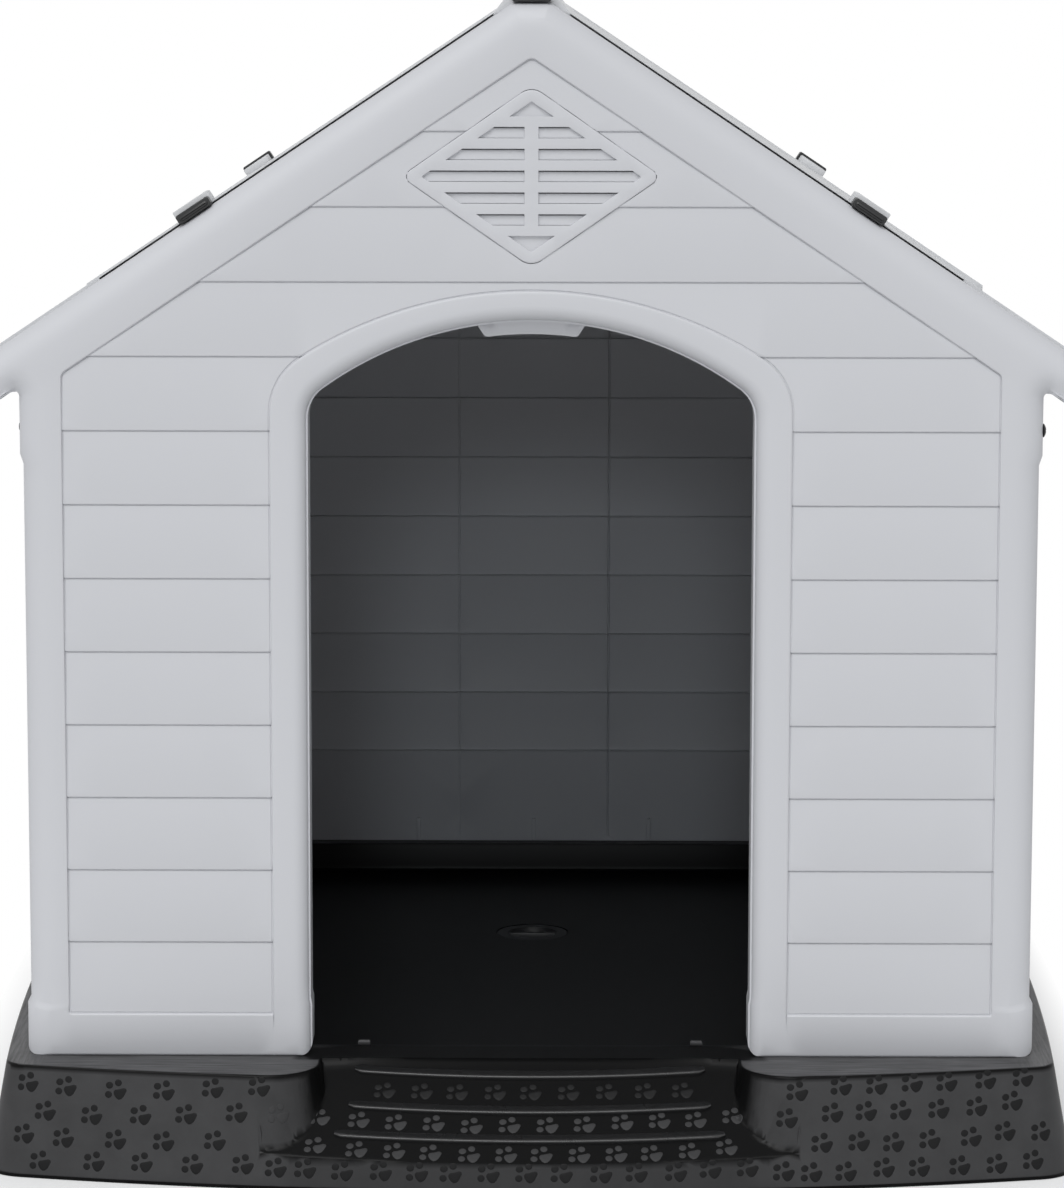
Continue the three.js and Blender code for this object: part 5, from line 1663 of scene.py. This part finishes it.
class DOGHOUSE_OT_base_details(bpy.types.Operator):
    """Raise the grip ribs on the ramp and the paw prints round the base"""
    bl_idname = "doghouse.base_details"
    bl_label = "Ribs and paw prints"

    def execute(self, context):
        sizes = context.scene.doghouse_base
        ground = bpy.data.objects["base_moulding"]
        self.ribs(ground, sizes)
        paw_width, relief = sizes.paw_width / MM, sizes.paw_relief

        def looking(origin, way):
            hit, at, normal, _ = ground.ray_cast(Vector(origin) * MM, Vector(way))
            if not hit:
                raise RuntimeError(f"no base face to print on from {origin}")
            return at, normal

        eye = context.scene.camera.matrix_world.translation / MM
        dark, shaded_prints, light = ([looking(eye, Vector((x, PRINT_PLANE, z)) - eye) for x, z in group]
                              for group in (DARK_PRINTS, SHADED_PRINTS, LIGHT_PRINTS))
        for row, z in enumerate(SIDE_ROWS):
            shift = PAW_PITCH / 2 * (row % 2)
            for side in (-1, 1):
                dark += [looking((side * PRINT_FROM, y, z), (-side, 0, 0))
                         for y in np.arange(SIDE_PRINTS[0] + shift, SIDE_PRINTS[1], PAW_PITCH)]
            dark += [looking((x, PRINT_FROM, z), (0, -1, 0))
                     for x in np.arange(BACK_PRINTS[0] + shift, BACK_PRINTS[1], PAW_PITCH)]
        for name, prints, finish in (("dark_paw_prints", dark, "polished_paw_print"),
                                     ("faint_paw_prints", shaded_prints, "faint_paw_print"),
                                     ("light_paw_prints", light, "grained_paw_print")):
            turns = []
            for _, normal in prints:
                side = UP.cross(normal).normalized()
                turns.append(turn_of(side, normal.cross(side), normal))
            obj = set_out(name, [p[0] for p in prints], turns, [(1, 1, 1)] * len(prints),
                          paw_print(paw_width),
                          finish, ground, relief)
            dress(obj, None)
        return {"FINISHED"}

    @staticmethod
    def ribs(ground, sizes):
        """Three grip ribs, bowed like the front edge."""
        half, bow, wide = 100.0, RIB_BOW, sizes.rib_width / MM
        xs = np.linspace(-half, half, 61)
        # From the foot of the steep front, over the crest, down the long back.
        section = [(-wide / 2, -0.5), (-wide / 2 - 0.15, 0.02), (-wide / 2 + 0.15, 0.65),
                   (-wide / 2 + 0.45, 0.93),
                   (-wide / 2 + 0.95, 1.0), (-wide / 2 + 2.8, 0.8), (wide / 2 - 1.6, 0.48),
                   (wide / 2 - 0.4, 0.2),
                   (wide / 2, -0.02), (wide / 2, -0.5)]
        verts, rise, faces, n = [], [], [], len(section)
        for x in xs:
            pinch = min(1.0, math.sqrt(max(0.0, 1 - (max(0, abs(x) - half + 2) / 2.2) ** 2)) + 0.1)
            for y, high in section:
                verts.append((x, y * pinch + x * x / (2 * bow), 0.01 * high))
                rise.append(high if high < 0 else high * min(1, pinch + 0.3))
        for i in range(len(xs) - 1):
            faces += band(i * n, n)
        faces += [tuple(range(n)), tuple(range(len(verts) - 1, len(verts) - n - 1, -1))]
        copy = new_object("one_rib", verts, faces)
        store(copy.data, "rise", rise)
        points = []
        for down, _ in RIB_ROWS:
            y = STEP["sill"] + (STEP["lip"] - STEP["sill"]) * down
            points.append(Vector((0, y, ramp_height(0, y))) * MM)
        tilt = math.atan(STEP["rise"])
        stretch = [(h / half, 1, 1) for _, h in RIB_ROWS]
        # The ribs carry the darkened rib material: painted shade.
        obj = set_out("ramp_ribs", points, [(tilt, 0, 0)] * 3, stretch, copy, "grip_rib", ground,
                      sizes.rib_height)
        dress(obj, None)


# ---------------------------------------------------------------- fittings

VENT_ROW, VENT_SLOT, VENT_BAR = 12.85, 6.6, 8.4      # pitch and height of the slots, middle bar
VENT_ROWS, VENT_END = range(-3, 4), 3
VENT_OPEN = (65.0, 44.3)    # half width and half height of the diamond that the slots fill
VENT_MIDDLE = VENT_Z + 0.3  # height of the middle row
VENT_FACE = 0.3             # the plate's face, behind the wall's


def vent_slot(row):
    """Outlines of the slots in one row of the vent."""
    w, h = VENT_OPEN
    edge = rounded([(w, VENT_Z, 0.8), (0, VENT_Z + h, 0.8), (-w, VENT_Z, 0.8), (0, VENT_Z - h, 0.8)])
    right = np.array(sorted((p[1], p[0]) for p in edge if p[0] >= -1e-6))
    z = VENT_MIDDLE + VENT_ROW * row
    low, high = z - VENT_SLOT / 2, z + VENT_SLOT / 2
    top, bottom = right[-1][0], right[0][0]
    if row == VENT_END:
        high = top - 0.05
    if row == -VENT_END:
        low = bottom + 0.05
    levels = np.unique(np.concatenate([np.linspace(low, high, 7),
                                       right[(right[:, 0] > low) & (right[:, 0] < high), 0]]))
    reach = np.interp(levels, right[:, 0], right[:, 1])
    loop = list(zip(reach, levels))
    if abs(row) == VENT_END:
        return [np.array(loop + mirrored(loop))]
    loop = [(VENT_BAR / 2, low)] + loop + [(VENT_BAR / 2, high)]
    return [np.array(loop), np.array(mirrored(loop))]


class DOGHOUSE_OT_vents(bpy.types.Operator):
    """Build the louvred diamond vents"""
    bl_idname = "doghouse.vents"
    bl_label = "Vents"

    def execute(self, context):
        outline = densified(diamond(1, -0.35), 10)
        slots = [slot for row in VENT_ROWS for slot in vent_slot(row)]
        outer, inner = densified(diamond(0.95, -0.5), 10), densified(diamond(0.92), 10)

        def front(uv):
            depth = VENT_FACE + quarter(nearest(uv, outline)[0], 0.8, 0.7)
            for slot in slots:
                depth = np.maximum(depth, VENT_FACE + quarter(nearest(uv, slot)[0], 0.6, 0.5))
            return depth

        def back(uv):
            collar = np.minimum(signed(uv, outer), -signed(uv, inner))
            return VENT_SEAT - 0.3 + np.interp(collar, [0, 0.1], [0.0, 8.3])

        lines = rings(outline, [0.1, 0.35, 0.8])
        for slot in slots:
            lines += clipped([(slot - inward(slot) * d, True) for d in (0.15, 0.6)], outline, slots, 0.03)
        collar = [(outer, True), (inner, True)] + rings(outer, [0.1])
        collar.append((inner - inward(inner) * 0.1, True))
        for name, way in (("front_vent", 1), ("back_vent", -1)):
            def place(uv, depth):
                y = FRONT + depth
                return np.stack([way * uv[:, 0], y if way > 0 else FRONT + BACK - y, uv[:, 1]], 1)
            verts, faces = two_faced(outline, slots, lines, collar, front, back, place)
            dress(new_object(name + "_plate", verts, faces), "wall_polypropylene",
                  replaces=[name])
            self.blades(name + "_blades", way)
        return {"FINISHED"}

    @staticmethod
    def blades(name, way):
        """Slanted louvre blades behind the slots, trimmed to the inside of the collar."""
        section = [(2.0, -3.05), (3.4, -3.05), (3.9, 2.5), (2.5, 2.5)]
        verts, faces = prism_verts(section, -74.0, 74.0, lambda y, z, x: (x, y, z))
        copy = new_object("one_blade", verts, faces)
        y0 = FRONT if way > 0 else BACK
        points = [Vector((0, y0, VENT_MIDDLE + VENT_ROW * row)) * MM for row in VENT_ROWS]
        turn = (0, 0, 0) if way > 0 else (0, 0, math.pi)
        sizes = [(1, 1, 2.3 if abs(row) == VENT_END else 1) for row in VENT_ROWS]
        blades = set_out(name, points, [turn] * len(VENT_ROWS), sizes, copy, "wall_polypropylene")
        verts, faces = prism_verts(diamond(0.925), y0 - 20.0, y0 + 20.0, lambda x, z, y: (x, y, z))
        blades = combined(blades, new_object("trim", verts, faces), "INTERSECT")
        dress(blades, "wall_polypropylene")


KEY_DEPTH = 10.7
KEY_SIZES = {"front": (22.8, 5.8), "back": (23.4, 8.0)}       # length along the slope, height
KEY_FRONT = FRONT + 5
RIDGE_KEY_HALF, RIDGE_KEY_Z = 11.5, (1.8, 11.0)



class DOGHOUSE_OT_keys(bpy.types.Operator):
    """Build the six sliding roof keys, each a block with a tongue"""
    bl_idname = "doghouse.keys"
    bl_label = "Roof keys"

    def execute(self, context):
        seat = KEY_FRONT + KEY_DEPTH - GAP
        for end, front in (("front", True), ("back", False)):
            middle = KEY_ALONG[end]

            def on_end(points):
                return [(x, y if front else FRONT + BACK - y, z) for x, y, z in points]
            for side, name in ((-1, "left"), (1, "right")):
                def at(along, out, y, side=side):
                    x, z = on_slope(along, out)
                    return side * x, y, z
                key = self.block(f"key_{end}_{name}", lambda u, v, y: at(middle + u, v, y),
                                 KEY_SIZES[end][0] / 2, GAP, GAP + KEY_SIZES[end][1], seat, on_end)
                tongue = [at(middle + u, v, y) for y in (seat - 1, seat + TONGUE_LONG)
                          for u, v in self.tongue(TONGUE_HALF, TONGUE_LOW)]
                self.finish(key, tongue, on_end, f"key_{end}_{name}")
            key = self.block(f"key_{end}_ridge", lambda u, v, y: (u, y, RIDGE + v),
                             RIDGE_KEY_HALF, *RIDGE_KEY_Z, seat, on_end)
            tongue = [(x, y, z) for y in (seat - 1, seat + TONGUE_LONG)
                      for x, z in self.tongue(RIDGE_TONGUE_HALF, RIDGE_TONGUE_LOW)]
            self.finish(key, tongue, on_end, f"key_{end}_ridge")
        return {"FINISHED"}

    @staticmethod
    def tongue(half, low):
        """Corners of a tongue's section."""
        return (-half, low), (half, low), (half, low + TONGUE_HIGH), (-half, low + TONGUE_HIGH)

    @staticmethod
    def block(name, at, half, low, high, seat, on_end):
        """A block whose outer face carries a raised panel inside a bevelled border."""
        rings_at = [(half, low, high, seat), (half, low, high, KEY_FRONT + 1.5),
                    (half - 0.5, low + 0.5, high - 0.5, KEY_FRONT + 1.0),
                    (half - 1.5, low + 1.2, high - 1.5, KEY_FRONT + 1.0),
                    (half - 2.0, low + 1.6, high - 2.0, KEY_FRONT + 0.2),
                    (half - 2.4, low + 2.0, high - 2.4, KEY_FRONT)]
        verts, faces = [], []
        cut, n = 0.9, 8
        for h, v0, v1, y in rings_at:
            loop = [(-h + cut, v0), (h - cut, v0), (h, v0 + cut), (h, v1 - cut), (h - cut, v1),
                    (-h + cut, v1),
                    (-h, v1 - cut), (-h, v0 + cut)]
            verts += on_end([at(u, v, y) for u, v in loop])
        for r in range(len(rings_at) - 1):
            faces += band(r * n, n)
        faces += [tuple(range(n)), tuple(range(len(verts) - n, len(verts)))]
        return new_object(name, verts, faces, 25)

    @staticmethod
    def finish(key, tongue, on_end, name):
        tongue = wedge("tongue", on_end(tongue), 0.4)
        body = combined(key, tongue, "UNION")
        body.name = name + "_block"
        dress(body, "key_nylon", name + "_body", [name])


SCREW_Z, SCREW_HEAD, SCREW_DOME, SCREW_LONG, SCREW_SHANK = 448.0, 4.1, 1.8, 13.0, 2.0
SCREWS = [(1, FRONT + 12), (1, BACK - 24), (-1, FRONT + 24), (-1, BACK - 12)]      # side, y


class DOGHOUSE_OT_screws(bpy.types.Operator):
    """Set out the four dome-headed corner screws"""
    bl_idname = "doghouse.screws"
    bl_label = "Screws"

    def execute(self, context):
        radius = (SCREW_HEAD ** 2 + (SCREW_DOME - 0.4) ** 2) / (2 * (SCREW_DOME - 0.4))
        low = math.degrees(math.acos(SCREW_HEAD / radius))
        dome = arc(0, SCREW_DOME - radius, radius, low, 88, 7)
        profile = [(0, -SCREW_LONG), (SCREW_SHANK, -SCREW_LONG + 2), (SCREW_SHANK, 0), (SCREW_HEAD, 0)]
        profile += dome + [(0, SCREW_DOME)]
        verts, faces = lathe(profile, 32, (0, 0, 0), "X")
        screw = new_object("one_screw", verts, faces)
        for half_y, half_z in ((2.1, 0.42), (0.42, 2.1)):
            recess = from_bmesh("recess", soft_box(((SCREW_DOME - 1.2, -half_y, -half_z),
                                                    (SCREW_DOME + 2, half_y, half_z)), 0.05, 1))
            screw = combined(screw, recess, "DIFFERENCE")
        face = HALF_WIDTH + SLEEVE + 0.1
        points = [Vector((side * face, y, SCREW_Z)) * MM for side, y in SCREWS]
        turns = [(0.4 * k, 0, 0 if side > 0 else math.pi) for k, (side, _) in enumerate(SCREWS)]
        obj = set_out("corner_screws", points, turns, [(1, 1, 1)] * 4, screw, "black_oxide_steel")
        dress(obj, None, replaces=["screw_front_left", "screw_front_right",
                                                  "screw_back_left",
                                                  "screw_back_right"])
        return {"FINISHED"}


class DOGHOUSE_OT_flap_clip(bpy.types.Operator):
    """Build the clip for a door flap under the crown of the arch"""
    bl_idname = "doghouse.flap_clip"
    bl_label = "Flap clip"

    def execute(self, context):
        arch_z, reach = DOOR["top"] - DOOR["arch"], DOOR["arch"] - GAP
        half, drop, neck = 32.5, 8.0, 24.5
        turn = math.degrees(math.asin(half / DOOR["arch"]))
        tip = DOOR["top"] + SKIN + 3
        low = arc(0, arch_z, reach - drop, 90 + turn - 1, 90 - turn + 1, 12)
        corner_r, corner_l = low[-1], low[0]
        top_r, top_l = arc(0, arch_z, reach, 90 - turn, 90 + turn, 1)
        shape = rounded([(*corner_r, 3.2), (*top_r, 0.6), (neck, math.sqrt(reach ** 2 - neck ** 2)
                                                           + arch_z),
                         (neck, tip), (-neck, tip), (-neck, math.sqrt(reach ** 2 - neck ** 2) + arch_z),
                         (*top_l, 0.6), (*corner_l, 3.2)] + low[1:-1], 12)
        outline = densified(shape if area(shape) > 0 else shape[::-1], 6)

        def soft(uv):
            return quarter(nearest(uv, outline)[0], 1.2)

        barb = DOOR["top"] + SKIN + GAP

        def front(uv):
            return soft(uv) - np.where(uv[:, 1] > barb, 1.5, 0)

        def back(uv):
            return 4.0 - quarter(nearest(uv, outline)[0], 0.8) + np.where(uv[:, 1] > barb, 1.5, 0)

        lines = clipped([level(-neck, neck, 12, z) for z in (barb - 0.1, barb)], outline, [], 0.1)
        lines += rings(outline, [0.15, 0.5, 1.2])
        verts, faces = two_faced(outline, [], lines, lines, front, back,
                                 lambda uv, depth: np.stack([uv[:, 0], FRONT + 16 + depth, uv[:, 1]], 1))
        dress(new_object("flap_clip_tab", verts, faces), "wall_polypropylene",
              replaces=["flap_clip"])
        return {"FINISHED"}


class DOGHOUSE_OT_drain_plug(bpy.types.Operator):
    """Build the drain plug with its finger bar"""
    bl_idname = "doghouse.drain_plug"
    bl_label = "Drain plug"

    def execute(self, context):
        top = FLOOR - 0.3
        seat = FLOOR - DRAIN_DEPTH + GAP
        profile = [(0, seat - 9), (19, seat - 9), (DRAIN_HOLE - 0.5, seat - 6), (DRAIN_HOLE - 0.5, seat),
                   (DRAIN_SEAT - 0.5, seat), (DRAIN_SEAT - 0.5, top - 0.5), (DRAIN_SEAT - 1.0, top),
                   (17.4, top),
                   (17.0, top - 0.4), (15.3, top - 4.6), (14.8, top - 5), (0, top - 5)]
        verts, faces = lathe(profile, 64, (0, DRAIN_Y, 0))
        plug = new_object("plug", verts, faces)
        bar = from_bmesh("bar", soft_box(((-16.4, DRAIN_Y - 2, top - 5.5), (16.4, DRAIN_Y + 2, top)), 0.6))
        plug = combined(plug, bar, "UNION")
        plug.name = "drain_plug_moulding"
        dress(plug, "key_nylon", "plug", ["drain_plug"])
        return {"FINISHED"}


# ---------------------------------------------------------------- sidebar and run

GROUPS = {"doghouse_walls": WallSizes, "doghouse_roof": RoofSizes, "doghouse_base": BaseSizes,
          "doghouse_colours": Colours, "doghouse_studio": Studio}
STEPS = [DOGHOUSE_OT_stage, DOGHOUSE_OT_finishes, DOGHOUSE_OT_gable_walls, DOGHOUSE_OT_base_tray,
         DOGHOUSE_OT_side_walls, DOGHOUSE_OT_roof, DOGHOUSE_OT_base_details, DOGHOUSE_OT_vents,
         DOGHOUSE_OT_keys, DOGHOUSE_OT_screws, DOGHOUSE_OT_flap_clip, DOGHOUSE_OT_drain_plug]


class DOGHOUSE_PT_steps(bpy.types.Panel):
    """The sizes and colours, and the steps in the order in which they build the house"""
    bl_idname = "DOGHOUSE_PT_steps"
    bl_label = "Dog house"
    bl_space_type = "VIEW_3D"
    bl_region_type = "UI"
    bl_category = "Dog house"

    def draw(self, context):
        for key, group in GROUPS.items():
            for value in group.__annotations__:
                self.layout.prop(getattr(context.scene, key), value)
        for step in STEPS:
            self.layout.operator(step.bl_idname)


def register():
    for cls in (*GROUPS.values(), *STEPS, DOGHOUSE_PT_steps):
        bpy.utils.register_class(cls)
    for key, group in GROUPS.items():
        setattr(bpy.types.Scene, key, bpy.props.PointerProperty(type=group))


def unregister():
    for key in GROUPS:
        delattr(bpy.types.Scene, key)
    for cls in (DOGHOUSE_PT_steps, *STEPS, *GROUPS.values()):
        bpy.utils.unregister_class(cls)


def main():
    register()
    bpy.ops.doghouse.stage()
    bpy.ops.doghouse.finishes()
    bpy.ops.doghouse.gable_walls()
    bpy.ops.doghouse.base_tray()
    bpy.ops.doghouse.side_walls()
    bpy.ops.doghouse.roof()
    bpy.ops.doghouse.base_details()
    bpy.ops.doghouse.vents()
    bpy.ops.doghouse.keys()
    bpy.ops.doghouse.screws()
    bpy.ops.doghouse.flap_clip()
    bpy.ops.doghouse.drain_plug()


if __name__ == "__main__":
    main()
